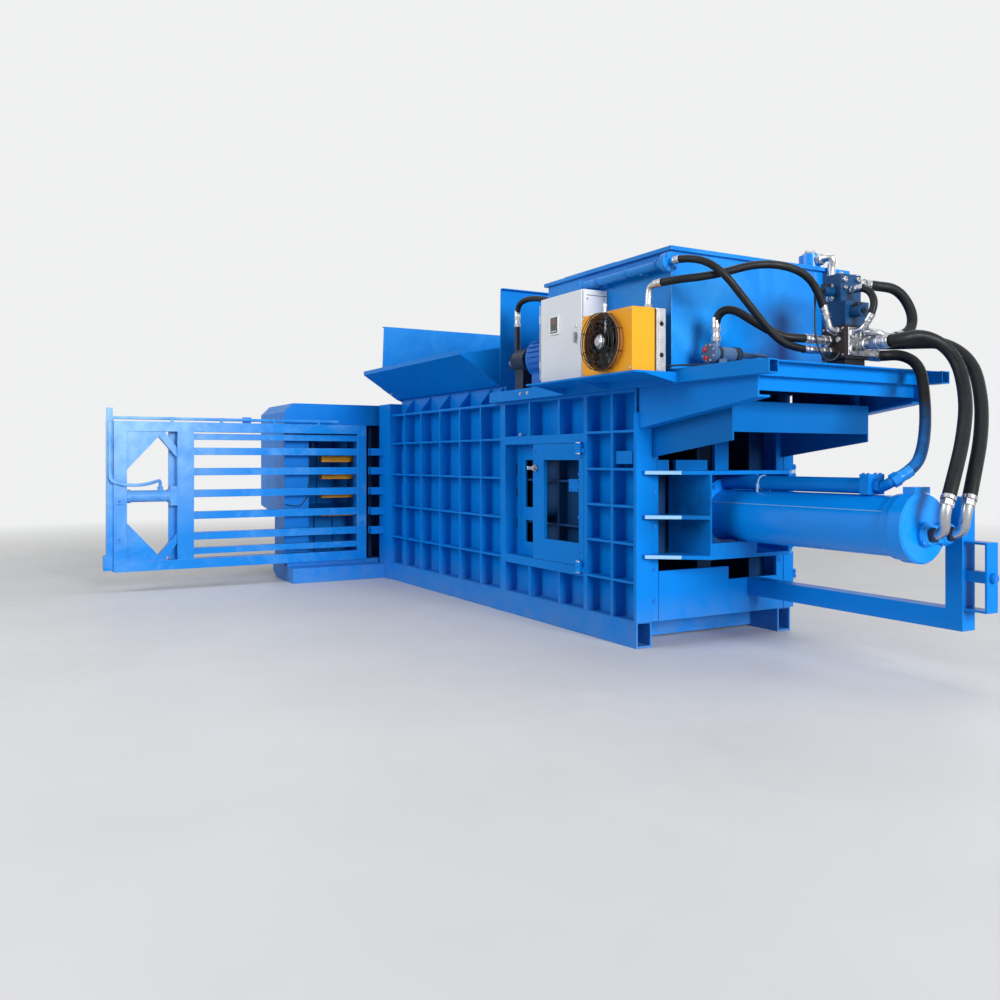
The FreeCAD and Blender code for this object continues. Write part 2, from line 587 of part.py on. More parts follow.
# ---- discharge portal -----------------------------------------------------------
def portal():
    """Skid, columns and head beam in front of the mouth, with the gate's track."""
    t = WELD
    body_side = -(RIB_OUT + POST_PROUD)
    nose = [(-MOUTH_X - 60, 0), (-MOUTH_X - 60, SKID_HEIGHT), (SKID_NOSE, SKID_HEIGHT),
            (SKID_NOSE, SKID_HEIGHT * 0.4), (SKID_NOSE + SKID_HEIGHT, 0)]
    skid = plate_xz(nose, PORTAL_NEAR, body_side)
    skid = skid.cut(block(SKID_NOSE + SKID_HEIGHT, -MOUTH_X - 60 - t, PORTAL_NEAR + t, body_side - t,
                          -1, SKID_HEIGHT - t))
    pad = block(PORTAL_REAR, MOUTH_X - 1.0, body_side, PORTAL_FAR, 0, SKID_HEIGHT)
    pad = pad.cut(block(PORTAL_REAR + t, MOUTH_X - 1.0 - t, body_side + t, PORTAL_FAR - t, -1, SKID_HEIGHT - t))
    floor = block(PORTAL_REAR, PORTAL_FRONT, -HALF_IN, HALF_IN, SKID_HEIGHT, FLOOR_TOP)
    floor = floor.cut(block(PORTAL_REAR - 1, PORTAL_FRONT - t, -HALF_IN + t, HALF_IN - t,
                            SKID_HEIGHT - 1, FLOOR_TOP - t))
    track_mid = (GATE_X0 + GATE_X1) / 2
    track = block(track_mid - TRACK_WIDTH / 2, track_mid + TRACK_WIDTH / 2, PORTAL_NEAR, PORTAL_FAR - COLUMN_WIDTH,
                  SKID_HEIGHT, GATE_Z0 - TRACK_GAP)
    save("portal_base", weld([skid, pad, floor, track]))

    inner = PORTAL_NEAR + COLUMN_WIDTH
    step = [(PORTAL_FRONT, SKID_HEIGHT), (PORTAL_FRONT, PORTAL_BEAM_UNDER), (PORTAL_REAR, PORTAL_BEAM_UNDER),
            (PORTAL_REAR, COLUMN_STEP), (COLUMN_REAR, COLUMN_STEP - COLUMN_SLOPE), (COLUMN_REAR, SKID_HEIGHT)]
    pocket = [(PORTAL_FRONT - t, SKID_HEIGHT - 1), (PORTAL_FRONT - t, PORTAL_BEAM_UNDER - t),
              (PORTAL_REAR + t, PORTAL_BEAM_UNDER - t), (PORTAL_REAR + t, COLUMN_STEP + t),
              (COLUMN_REAR + t, COLUMN_STEP - COLUMN_SLOPE + t), (COLUMN_REAR + t, SKID_HEIGHT - 1)]
    near = plate_xz(step, PORTAL_NEAR, inner).cut(plate_xz(pocket, PORTAL_NEAR + t, inner - t))
    shift = PORTAL_FAR + PORTAL_NEAR
    far = across(near)
    far.translate(V(0, shift, 0))
    post_x = PORTAL_FRONT - 100
    guide_post = block(post_x - 120, post_x, -892, -862, SKID_HEIGHT, PORTAL_BEAM_UNDER)
    save("portal_columns", near, far, guide_post)

    chamfer = 90
    head = [(PORTAL_NEAR, PORTAL_BEAM_UNDER), (PORTAL_NEAR, PORTAL_TOP - chamfer),
            (PORTAL_NEAR + chamfer, PORTAL_TOP), (PORTAL_FAR, PORTAL_TOP), (PORTAL_FAR, PORTAL_BEAM_UNDER)]
    inside = [(PORTAL_NEAR + t, PORTAL_BEAM_UNDER - 1), (PORTAL_NEAR + t, PORTAL_TOP - chamfer - t / 2),
              (PORTAL_NEAR + chamfer + t / 2, PORTAL_TOP - t), (PORTAL_FAR - t, PORTAL_TOP - t),
              (PORTAL_FAR - t, PORTAL_BEAM_UNDER - 1)]
    beam = plate_yz(head, PORTAL_REAR, PORTAL_FRONT).cut(plate_yz(inside, PORTAL_REAR + t, PORTAL_FRONT - t))
    ribs = []
    for i in range(1, 12):
        y = PORTAL_NEAR + (PORTAL_FAR - PORTAL_NEAR) * i / 12
        ribs.append(block(PORTAL_REAR + t, PORTAL_FRONT - t, y - t / 2, y + t / 2, PORTAL_BEAM_UNDER + 30,
                          PORTAL_TOP - chamfer - t))
    strip = block(PORTAL_FRONT - t, GATE_X0 - SLIDE_GAP, PORTAL_NEAR, PORTAL_FAR,
                  PORTAL_BEAM_UNDER, PORTAL_BEAM_UNDER + 40)
    save("portal_top_beam", weld([beam, strip] + ribs))


def wire_guides():
    """Slotted wire guides: one by each gap of the gate, and the painted arms."""
    y1 = -(RIB_OUT + POST_PROUD)
    y0 = y1 - GUIDE_DEPTH
    x0, x1 = MOUTH_X + WELD, MOUTH_X + WELD + GUIDE_WIDTH
    half = GUIDE_HEIGHT / 2
    pieces = []
    for z in BAR_LEVELS:
        outer = block(x0, x1, y0, y1, z - half, z + half)
        slot = block(x0 + WELD, x1 - WELD, y0 - 1, y1 - 2 * WELD, z - half - 1, z + half + 1)
        pieces.append(outer.cut(slot))
    save("wire_guides", *pieces)
    arms = []
    post_x = PORTAL_FRONT - 100
    for z in ARM_LEVELS:
        arm = block(post_x - 110, post_x - 10, -1229, -892, z - 31, z + 31)
        arms.append(arm.makeFillet(12, [e for e in arm.Edges if abs(e.Vertexes[0].Y - e.Vertexes[1].Y) < 1
                                        and abs(e.Vertexes[0].Y + 1229) < 1]))
    save("wire_guide_arms", *arms)


# ---- gate -------------------------------------------------------------------------
def gate():
    """Barred sliding gate with its lock gear."""
    x0, x1 = GATE_X0, GATE_X1
    left_end = GATE_Y0 + GATE_STILE
    mid_end = GATE_MID_Y0 + GATE_MID_STILE
    right_start = GATE_Y1 - GATE_END_STILE
    lug_y = (GATE_Y0 + GATE_Y1) / 2
    mid_x = (x0 + x1) / 2
    z_low, z_high = GATE_Z0 + GATE_RAIL, GATE_Z1 - GATE_RAIL
    rails = [block(x0, x1, GATE_Y0, GATE_Y1, z_high, GATE_Z1), block(x0, x1, GATE_Y0, GATE_Y1, GATE_Z0, z_low)]
    end_stile = block(x0, x1, GATE_Y0, left_end, z_low, z_high)
    end_stile = end_stile.cut(rod("y", (mid_x, GATE_Y0 - 1, LOCK_LEVEL), LOCK_ROD_R + RUN_FIT, GATE_STILE + 2))
    stiles = [end_stile, block(x0, x1, GATE_MID_Y0, mid_end, z_low, z_high),
              block(x0, x1, right_start, GATE_Y1, z_low, z_high)]
    reach_y, reach_z = GATE_MID_Y0 - left_end, (z_high - z_low) * 0.3
    seat_y = GATE_MID_Y0 - 63
    seat = weld([block(x0, x0 + 2 * WELD, seat_y, GATE_MID_Y0, z_low, z_high),
                 block(x0, mid_x + LOCK_BARREL_R, seat_y, GATE_MID_Y0, LOCK_LEVEL - 90, LOCK_LEVEL + 90)])
    plates = []
    for z, sign in ((z_high, -1), (z_low, 1)):
        corner = [(left_end, z), (left_end, z + sign * reach_z), (left_end + reach_y * 0.72, z)]
        plates.append(plate_yz(corner, x1 - 2 * WELD, x1 - WELD))
        brace = [(left_end + reach_y * 0.55, z), (left_end + reach_y * 0.75, z),
                 (GATE_MID_Y0, z + sign * reach_z * 0.42), (GATE_MID_Y0, z + sign * reach_z * 0.68)]
        plates.append(plate_yz(brace, x0 + 2 * WELD, x1 - 2 * WELD))
    top_lug = block(mid_x - 12, mid_x + 12, lug_y - 40, lug_y + 40, GATE_Z1, GATE_Z1 + 60)
    top_lug = top_lug.cut(rod("x", (mid_x - 13, lug_y + 10, GATE_Z1 + 36), 12, 26))
    save("gate_frame", *rails, *stiles, seat, *plates, top_lug)

    bars = []
    bar_x0 = mid_x - BAR_DEPTH / 2
    for z in BAR_LEVELS:
        bars.append(block(bar_x0, bar_x0 + BAR_DEPTH, mid_end, right_start, z - BAR_HEIGHT / 2, z + BAR_HEIGHT / 2))
    for z in EDGE_BAR_LEVELS:
        bars.append(block(bar_x0, bar_x0 + BAR_DEPTH, mid_end, right_start,
                          z - EDGE_BAR_HEIGHT / 2, z + EDGE_BAR_HEIGHT / 2))
    shelled = []
    for bar in bars:
        box = bar.BoundBox
        shelled.append(bar.cut(block(box.XMin + TUBE_WALL, box.XMax - TUBE_WALL, box.YMin - 1, box.YMax + 1,
                                     box.ZMin + TUBE_WALL, box.ZMax - TUBE_WALL)))
    save("gate_bars", *shelled)

    barrel = ring("y", (mid_x, left_end, LOCK_LEVEL), LOCK_BARREL_R, LOCK_ROD_R + RUN_FIT, 40)
    tube = ring("y", (mid_x, left_end + 40, LOCK_LEVEL), LOCK_BARREL_R - 8, LOCK_ROD_R + 16, seat_y - left_end - 60)
    plug = rod("y", (mid_x, seat_y - 20, LOCK_LEVEL), LOCK_BARREL_R, 20)
    boss = rod("z", (mid_x, left_end + 300, LOCK_LEVEL + LOCK_BARREL_R - 14), 26, 38)
    save("lock_cylinder", weld([barrel, tube, plug, boss]))

    rod_start = GATE_Y0 - 1.0
    bar = block(x0, x1 - 40, rod_start - LOCK_BAR, rod_start, GATE_Z0 + 14, GATE_Z1 + 10)
    hook_low = block(x0, x1 - 40, rod_start - LOCK_BAR - 26, rod_start - LOCK_BAR, GATE_Z0 + 14, GATE_Z0 + 150)
    hook_top = block(x0 + 30, x1 - 60, rod_start - LOCK_BAR, rod_start, GATE_Z1 + 10, GATE_Z1 + 120)
    reach = GATE_STILE + LOCK_TRAVEL + 90
    shank = rod("y", (mid_x, rod_start, LOCK_LEVEL), LOCK_ROD_R, reach)
    piston = rod("y", (mid_x, rod_start + reach, LOCK_LEVEL), LOCK_ROD_R + 16 - RUN_FIT, 40)
    save("lock_bar", weld([bar, hook_low, hook_top, shank, piston]))

    pipe_r = 15.0
    boss_y = left_end + 300
    boss_top = LOCK_LEVEL + LOCK_BARREL_R + 24
    standoff = pipe_r + 14
    px, over = x1 - pipe_r, GATE_Z1 + standoff
    out, skin = GATE_Y0 - standoff, x1 + standoff
    route = [(px, GATE_Y1 - 300, over), (px, GATE_Y0 + 60, over), (px, out, over),
             (px, out, boss_top + 130), (skin, out, boss_top + 60), (skin, GATE_Y0 + 70, boss_top + 24),
             (skin, left_end + 90, boss_top + 16), (skin, boss_y - 110, boss_top + 30),
             (mid_x, boss_y, boss_top + 60), (mid_x, boss_y, boss_top)]
    pipe, _, _ = bent_tube(route, pipe_r, sides=HOSE_SIDES)
    clips = [block(px - pipe_r, px + pipe_r, y - 12, y + 12, GATE_Z1, over + pipe_r + 2)
             for y in (lug_y - 700, lug_y - 250, lug_y + 250, lug_y + 700)]
    save("gate_pipe", weld([pipe] + clips))


# ---- ram and main cylinder ------------------------------------------------------
def ram():
    """Hollow ribbed ram box behind a slotted face plate."""
    half = HALF_IN - RAM_SIDE_GAP
    low, high = FLOOR_TOP + RAM_UNDER_GAP, ROOF_UNDER - RAM_UNDER_GAP
    back = RAM_REST + RAM_FACE
    face = block(RAM_REST, back, -half, half, low, high)
    face = face.cut(block(RAM_REST, RAM_REST + KNIFE_DEPTH, -half, half, high - KNIFE_HEIGHT, high))
    for z in BAR_LEVELS[:4]:
        face = face.cut(block(RAM_REST, RAM_REST + RAM_FACE / 2, -half, half, z - 25, z + 25))
    boss = ring("x", (back, 0, AXIS_Z), ROD_R + 50, ROD_R + SEAT_GAP, 80)
    save("ram_face", weld([face, boss]))
    save("ram_knife", block(RAM_REST, RAM_REST + KNIFE_DEPTH, -half, half, high - KNIFE_HEIGHT, high))

    end = RAM_REST + RAM_LENGTH
    web = half - RIB_DEPTH * 0.7
    pieces = [block(back, end, -half, half, high - RAM_PLATE, high),
              block(back, end, -half, half, low, low + RAM_PLATE)]
    sides = [block(back, end, web - RAM_PLATE, web, low, high)]
    for z in (low + (high - low) * k for k in (0.38, 0.64)):
        sides.append(block(back, end, web, half, z - 8, z + 8))
    for i in range(6):
        x = back + (end - back - RAM_PLATE) * i / 5
        sides.append(block(x, x + RAM_PLATE, web, half, low, high))
    pieces += sides + [across(s) for s in sides]
    rear = block(end - RAM_PLATE, end, -web, web, low, high)
    rear = rear.cut(rod("x", (end - RAM_PLATE, 0, AXIS_Z), GLAND_R + 25, RAM_PLATE))
    frame = 3 * RAM_PLATE
    for z0, z1 in ((low + frame, AXIS_Z - GLAND_R - 1.5 * frame), (AXIS_Z + GLAND_R + 1.5 * frame, high - frame)):
        window = block(end - RAM_PLATE, end, frame, web - frame, z0, z1)
        rear = rear.cut(window).cut(across(window))
    save("ram_box", weld(pieces + [rear]))

    piston_x = BARREL_X1 - PISTON_REAR_GAP - PISTON_LENGTH
    shank = rod("x", (back, 0, AXIS_Z), ROD_R, piston_x - back)
    piston = rod("x", (piston_x, 0, AXIS_Z), BORE_R - RUN_FIT, PISTON_LENGTH)
    save("piston_rod", shank.fuse(piston).removeSplitter())


def main_cylinder():
    """Barrel, gland and rear cap of the press cylinder, and its oil lines."""
    barrel = ring("x", (BARREL_X0, 0, AXIS_Z), BARREL_R, BORE_R, BARREL_X1 - BARREL_X0)
    flange_x = BODY_LENGTH + BULKHEAD
    flange = ring("x", (flange_x, 0, AXIS_Z), BARREL_R + 70, BARREL_R - 5, 50)
    collar = ring("x", (BARREL_X1 - COLLAR_LENGTH, 0, AXIS_Z), (BARREL_R + CAP_R) / 2, BARREL_R - 5, COLLAR_LENGTH)
    save("cylinder_barrel", weld([barrel, flange, collar]))
    gland = ring("x", (BARREL_X0 - GLAND_LENGTH, 0, AXIS_Z), GLAND_R, ROD_R + RUN_FIT, GLAND_LENGTH)
    save("cylinder_gland", gland)

    bevel = 12.0
    outline = [(0, 0), (0, CAP_R - bevel), (bevel, CAP_R), (CAP_LENGTH - bevel, CAP_R),
               (CAP_LENGTH, CAP_R - bevel), (CAP_LENGTH, 0)]
    corners = [V(BARREL_X1 + x, 0, AXIS_Z + r) for x, r in outline]
    half_section = Part.Face(Part.makePolygon(corners + corners[:1]))
    cap = half_section.revolve(V(BARREL_X1, 0, AXIS_Z), V(1, 0, 0), 360)
    saddle = block(BARREL_X1 + bevel, BARREL_X1 + CAP_LENGTH - bevel, -60, 60, AXIS_Z + CAP_R * 0.9, AXIS_Z + CAP_R + 26)
    boss_x = BARREL_X1 + CAP_LENGTH
    boss = block(boss_x, boss_x + 34, -56, 190, AXIS_Z - 78, AXIS_Z + 14)
    save("cylinder_cap", weld([cap, saddle, boss]))

    pipe_r = 45.0
    z = AXIS_Z + BARREL_R + pipe_r + 3.0
    start, end = flange_x + 50.0, BARREL_X1 - 260.0
    line = rod("x", (start, 0, z), pipe_r, end - start)
    block_end = block(end, end + 60, -66, 66, z - pipe_r - 2, z + 66)
    elbow = fitting((end + 60, 0, z), (1, 0, 0), "rod_side_hose", -1, 30, 50, 40)
    save("rod_side_pipe", weld([line, block_end, elbow]))


def support_arm():
    """Cantilevered arm beside the cylinder's end, with its slotted bracket."""
    y0, y1 = 243.0, 351.0
    x0, x1 = BODY_LENGTH + BULKHEAD, BARREL_X1 + CAP_LENGTH + 48
    z0, z1 = 285.0, 398.0
    top = 1003.0
    beam = block(x0, x1, y0, y1, z0, z1).cut(block(x0 + WELD, x1 - 112, y0 + WELD, y1 + 1, z0 + WELD, z1 - WELD))
    post = block(x1 - 100, x1, y0, y1, z0, top)
    post = post.cut(block(x1 - 100 + WELD, x1 - WELD, y0 + WELD, y1 - WELD, z1, top - WELD))
    bx, bz0, bz1 = x1 + 132, 397.0, 767.0
    side = [block(x1, bx, y0 + 10, y1 - 4, bz1 - WELD, bz1), block(x1, bx, y0 + 10, y1 - 4, bz0, bz0 + WELD),
            block(bx - WELD, bx, y0 + 10, y1 - 4, bz0, bz1)]
    hub_z = (bz0 + bz1) / 2
    bridge = block(x1, bx, y0 + 30, y1 - 24, hub_z - 30, hub_z + 30)
    knob = rod("x", (bx, (y0 + y1) / 2, hub_z), 26, 22)
    save("support_arm", weld([beam, post, bridge, knob] + side))


# ---- platform --------------------------------------------------------------------
def square_tube(x0, x1, y0, y1, z0, z1, axis):
    """Hollow rectangular tube open at both ends."""
    t = TUBE_WALL
    solid = block(x0, x1, y0, y1, z0, z1)
    if axis == "x":
        return solid.cut(block(x0 - 1, x1 + 1, y0 + t, y1 - t, z0 + t, z1 - t))
    return solid.cut(block(x0 + t, x1 - t, y0 - 1, y1 + 1, z0 + t, z1 - t))


def platform():
    """Tube frame, deck and tapered side channels that overhang the rear."""
    z0, z1 = WALL_TOP, PLATFORM_TOP
    half = PLATFORM_HALF
    pieces = [square_tube(PLATFORM_X0, PLATFORM_X1, -half, -half + TUBE, z0, z1, "x"),
              square_tube(PLATFORM_X0, PLATFORM_X1, half - TUBE, half, z0, z1, "x")]
    for x in (PLATFORM_X0, (PLATFORM_X0 + BODY_LENGTH) / 2, BODY_LENGTH - TUBE) + TRAY_HANGERS + (BRACKET_TIP - TUBE,):
        pieces.append(block(x, x + TUBE, -half + TUBE, half - TUBE, z0, z1))
    pieces.append(block(PLATFORM_X0, BRACKET_TIP + 60, -half, half, z1, DECK_TOP))
    for side in (1, -1):
        root = BODY_LENGTH + BULKHEAD
        web = [(root, WALL_TOP), (root, WALL_TOP - BRACKET_ROOT_H),
               (BRACKET_TIP, WALL_TOP - BRACKET_TIP_H), (BRACKET_TIP, WALL_TOP)]
        toe = [(root, WALL_TOP - BRACKET_ROOT_H), (BRACKET_TIP, WALL_TOP - BRACKET_TIP_H),
               (BRACKET_TIP, WALL_TOP - BRACKET_TIP_H + WELD), (root, WALL_TOP - BRACKET_ROOT_H + WELD)]
        channel = [plate_xz(web, RIB_OUT - WELD, RIB_OUT), plate_xz(toe, RIB_OUT - 90, RIB_OUT - WELD)]
        pieces += channel if side > 0 else [across(c) for c in channel]
    pieces.append(block(BRACKET_TIP - 60, BRACKET_TIP - 48, -RIB_OUT + WELD, RIB_OUT - WELD,
                        WALL_TOP - BRACKET_TIP_H + 40, WALL_TOP))
    shelf_x1 = COOLER_X0 + COOLER_WIDTH + 40
    pieces.append(block(CABINET_X0 - 10, shelf_x1, COOLER_Y - 10, -half, SHELF_TOP - WELD, SHELF_TOP))
    for x in (CABINET_X0, CABINET_X0 + CABINET_WIDTH, shelf_x1 - WELD):
        knee = [(-half, SHELF_TOP - WELD), (-half - 240, SHELF_TOP - WELD), (-half, SHELF_TOP - WELD - 50)]
        pieces.append(plate_yz(knee, x, x + WELD))
    save("platform_frame", weld(pieces))


def rear_tray():
    """Open-bottomed hood over the rear of the ram bay."""
    x0 = BODY_LENGTH + BULKHEAD
    x1 = x0 + TRAY_LENGTH
    half = WALL_OUT
    t = WELD
    top = TRAY_TOP
    side = [(x0, top - TRAY_DROP), (x1, top - TRAY_TIP_DROP), (x1, top), (x0, top)]
    pieces = [plate_xz(side, -half, -half + t), plate_xz(side, half - t, half),
              block(x0, x1, -half + t, half - t, top - t, top),
              block(x1 - t, x1, -half + t, half - t, top - TRAY_END_DROP, top - t)]
    for x in TRAY_HANGERS:
        for y in (-half + t, half - t - 40):
            pieces.append(block(x, x + 40, y, y + 40, top, WALL_TOP))
    save("rear_tray", weld(pieces))


def oil_tank():
    """Welded oil tank, lid with raised cover, and the filter cup on it."""
    half = PLATFORM_HALF
    tank = block(TANK_X0, TANK_X1, -half, half, DECK_TOP, TANK_TOP)
    t = TANK_WALL
    tank = tank.cut(block(TANK_X0 + t, TANK_X1 - t, -half + t, half - t, DECK_TOP + t, TANK_TOP + 1))
    save("oil_tank", tank)
    edge = LID_OVERHANG
    lid = block(TANK_X0 - edge, TANK_X1 + edge, -half - edge, half + edge, TANK_TOP, TANK_TOP + LID_THICK)
    cover_x0 = TANK_X0 + 145
    cover = block(cover_x0, cover_x0 + 604, -half + 40, -half + 640, TANK_TOP + LID_THICK,
                  TANK_TOP + LID_THICK + 26)
    save("tank_lid", weld([lid, cover]))
    cup_base = TANK_TOP + LID_THICK
    cup = rod("z", (TANK_X1 - 86, 514, cup_base), 72, 92)
    neck = rod("z", (TANK_X1 - 86, 514, cup_base + 92), 50, 14)
    save("return_filter", weld([cup, neck]))

    pipe_r, y = 28.0, -half - 60
    z = TANK_TOP - 84
    run_end = TANK_X1 + 22
    start = TANK_X1 - 821.0
    line = rod("x", (start, y, z), pipe_r, run_end - start)
    inlet = block(start - 60, start, y - pipe_r - 4, -half, z - pipe_r - 4, z + pipe_r + 4)
    flange = rod("x", (run_end, y, z), 58, 44)
    stub = rod("x", (run_end + 44, y, z), 20, 30)
    feet = [block(x, x + 24, y - 10, -half, z - pipe_r - 6, z) for x in (start + 155, start + 605)]
    save("tank_pipe", weld([line, inlet, flange, stub] + feet))


# ---- cabinet and cooler ----------------------------------------------------------
def cabinet():
    """Sheet-metal control cabinet with hinged door and turning handle."""
    x0, x1 = CABINET_X0, CABINET_X0 + CABINET_WIDTH
    z0, z1 = SHELF_TOP, SHELF_TOP + CABINET_HEIGHT
    back = -PLATFORM_HALF - 2.0
    front = CABINET_Y + CABINET_DOOR + 1.0
    t = 5.0
    box = block(x0, x1, front, back, z0, z1).cut(block(x0 + t, x1 - t, front - 1, back - t, z0 + t, z1 - t))
    shelf = block(x0 + t, x1 - t, back - t - 20, back - t, z0 + 120, z1 - 120)
    hinge = rod("z", (x0 - 7, CABINET_Y + 7, z0 + 60), 4, CABINET_HEIGHT - 120)
    tabs = [block(x0 - 10, x0, CABINET_Y + 4, front + 12, z, z + 24) for z in (z0 + 36, z1 - 60)]
    save("cabinet_box", weld([box, shelf, hinge] + tabs))

    door_x0 = x0 + 12
    door = block(door_x0, x1, CABINET_Y, CABINET_Y + CABINET_DOOR, z0 + 2, z1 - 2)
    door = door.makeChamfer(3, [e for e in door.Edges if abs(e.BoundBox.YMin - CABINET_Y) < 0.1
                                and abs(e.BoundBox.YMax - CABINET_Y) < 0.1])
    eyes = []
    for z in (z0 + 110, z1 - 160):
        eye = ring("z", (x0 - 7, CABINET_Y + 7, z), 7, 4 + RUN_FIT, 50)
        leaf = block(x0 - 4, door_x0 + 2, CABINET_Y + 11.2, CABINET_Y + CABINET_DOOR, z, z + 50)
        eyes += [eye, leaf]
    screen = block(x0 + 138, x0 + 246, CABINET_Y - 8, CABINET_Y, z0 + 322, z0 + 450)
    hx, hz = x1 - 60, z0 + 286
    bore = rod("y", (hx, CABINET_Y - 1, hz), 9 + RUN_FIT, CABINET_DOOR + 2)
    save("cabinet_door", weld([door, screen] + eyes).cut(bore))
    spindle = rod("y", (hx, CABINET_Y - 12, hz), 9, CABINET_DOOR + 14)
    lever = block(hx - 9, hx + 9, CABINET_Y - 22, CABINET_Y - 10, hz - 44, hz + 26)
    collar = rod("y", (hx, CABINET_Y - 10, hz), 16, 9.5)
    save("cabinet_handle", weld([spindle, lever, collar]))


def cooler():
    """Oil cooler: box, drum ring, fan, guard with motor, and the finned core."""
    x0, x1 = COOLER_X0, COOLER_X0 + COOLER_WIDTH
    z0, z1 = SHELF_TOP, SHELF_TOP + COOLER_HEIGHT
    back = COOLER_Y + COOLER_DEPTH
    t = 4.0
    box = block(x0, x1, COOLER_Y, back, z0, z1)
    box = box.makeFillet(16, [e for e in box.Edges if abs(e.BoundBox.ZMax - e.BoundBox.ZMin) > 300
                              and e.BoundBox.YMax > back - 1])
    box = box.cut(block(x0 + t, x1 - t, COOLER_Y + t, back + 1, z0 + t, z1 - t))
    drum = ring("y", (FAN_X, COOLER_Y - DRUM_PROUD, FAN_Z), DRUM_R + t, DRUM_R, DRUM_PROUD + t)
    box = box.cut(rod("y", (FAN_X, COOLER_Y - 1, FAN_Z), DRUM_R, t + 2)).fuse(drum).removeSplitter()
    save("cooler_housing", box)

    core = block(x0 + 14, x1 + 6, back, back + CORE_DEPTH, z0, z1)
    fins = []
    pitch = 24.0
    count = int((COOLER_HEIGHT - 60) / pitch)
    for i in range(count):
        z = z0 + 36 + i * pitch
        fins.append(block(x0 + 40, x1 - 20, back + CORE_DEPTH - 12, back + CORE_DEPTH + 1, z, z + pitch * 0.5))
    save("cooler_core", core.cut(Part.makeCompound(fins)))

    guard_y = COOLER_Y - DRUM_PROUD - 8
    wires = [ring("y", (FAN_X, guard_y, FAN_Z), r + 4, r, 4) for r in (78, 122, DRUM_R)]
    spokes = []
    for i in range(4):
        spoke = block(FAN_X + 30, FAN_X + DRUM_R + 3, guard_y, guard_y + 8, FAN_Z - 3, FAN_Z + 3)
        spoke.rotate(V(FAN_X, 0, FAN_Z), V(0, 1, 0), 45 + 90 * i)
        spokes.append(spoke)
    motor = rod("y", (FAN_X, guard_y - 4, FAN_Z), 44, 40)
    shaft = rod("y", (FAN_X, guard_y + 36, FAN_Z), FAN_SHAFT_R, 64)
    save("fan_motor_guard", weld(wires + spokes + [motor, shaft]))

    fan_y = guard_y + 40
    hub = rod("y", (FAN_X, fan_y, FAN_Z), 40, 46)
    blades = []
    for i in range(7):
        blade = block(FAN_X - 40, FAN_X + 40, fan_y + 21, fan_y + 25, FAN_Z + 24, FAN_Z + FAN_R - 4)
        blade.rotate(V(FAN_X, fan_y + 23, FAN_Z), V(0, 0, 1), -26)
        blade.rotate(V(FAN_X, 0, FAN_Z), V(0, 1, 0), 360.0 * i / 7)
        blades.append(blade)
    fan = weld([hub] + blades).cut(rod("y", (FAN_X, fan_y, FAN_Z), FAN_SHAFT_R + RUN_FIT, 46))
    save("cooler_fan", fan)


# ---- pump, filter and valves -----------------------------------------------------
def pump_set():
    """Motor on a foot, bell housing and pump with its riser."""
    y, z = -520.0, DECK_TOP + 235
    x0, x1 = TANK_X0 - 426.0, TANK_X0 - 20
    motor = rod("x", (x0, y, z), 165, x1 - x0)
    bell = rod("x", (x0 - 60, y, z), 120, 60)
    foot = block(x0 + 40, x1 - 40, y - 130, y + 130, DECK_TOP, z - 110)
    save("pump_motor", weld([motor, bell, foot]))
    px0, px1 = x0 - 230.0, x0 - 60
    body = rod("x", (px0, y - 60, z), 96, px1 - px0)
    valve = block(px0 - 60, px0, y - 130, y - 30, z - 60, z + 60)
    riser = rod("z", (px0 - 30, y - 80, z + 60), 24, 217)
    foot = block(px0 + 20, px0 + 140, y - 130, y + 10, DECK_TOP, z - 70)
    save("pump", weld([body, valve, riser, foot]))


def inline_filter():
    """Return-line filter lying on the deck."""
    x, z = BODY_LENGTH + 595.0, DECK_TOP + 85.0
    disc = rod("y", (x, -621, z), 58, 34)
    body = rod("y", (x, -587, z), 42, 190)
    pipe = rod("y", (x, -397, z), 18, 230)
    foot = block(x - 30, x + 30, -560, -500, DECK_TOP, z - 20)
    plugs = [rod("y", (x - 24, -633, z + 22), 13, 12), rod("y", (x - 14, -633, z - 30), 13, 12)]
    top = rod("z", (x, -560, z + 20), 22, 50)
    end_foot = block(x - 16, x + 16, -200, -170, DECK_TOP, z)
    save("inline_filter", weld([disc, body, pipe, foot, end_foot, top] + plugs))


VALVE_X0, VALVE_X1 = BODY_LENGTH + 840.0, BODY_LENGTH + 1015.0
VALVE_Y0, VALVE_Y1 = 46.0, 243.0
MANIFOLD_Z0, MANIFOLD_Z1 = DECK_TOP + 51.0, DECK_TOP + 248.0


def valves():
    """Manifold on its pedestal with the stacked control valves."""
    x0, x1, y0, y1 = VALVE_X0, VALVE_X1, VALVE_Y0, VALVE_Y1
    block_body = block(x0, x1, y0, y1, MANIFOLD_Z0, MANIFOLD_Z1)
    pedestal = block(x0 + 20, x1 - 20, y0 + 20, y1 - 10, DECK_TOP, MANIFOLD_Z0)
    save("valve_manifold", weld([block_body, pedestal]))
    low, mid, high = MANIFOLD_Z1, MANIFOLD_Z1 + 139, MANIFOLD_Z1 + 304
    stack = [block(x0, x1, y0, y1, low, mid), block(x0 + 20, x1 - 45, y0 + 14, y1 - 13, mid, high)]
    coil = rod("y", (x0 + 60, y0 - 60, mid + 65), 30, 80)
    coil2 = rod("x", (x1, y0 + 60, mid - 65), 34, 70)
    save("valve_stack", weld(stack + [coil, coil2]))


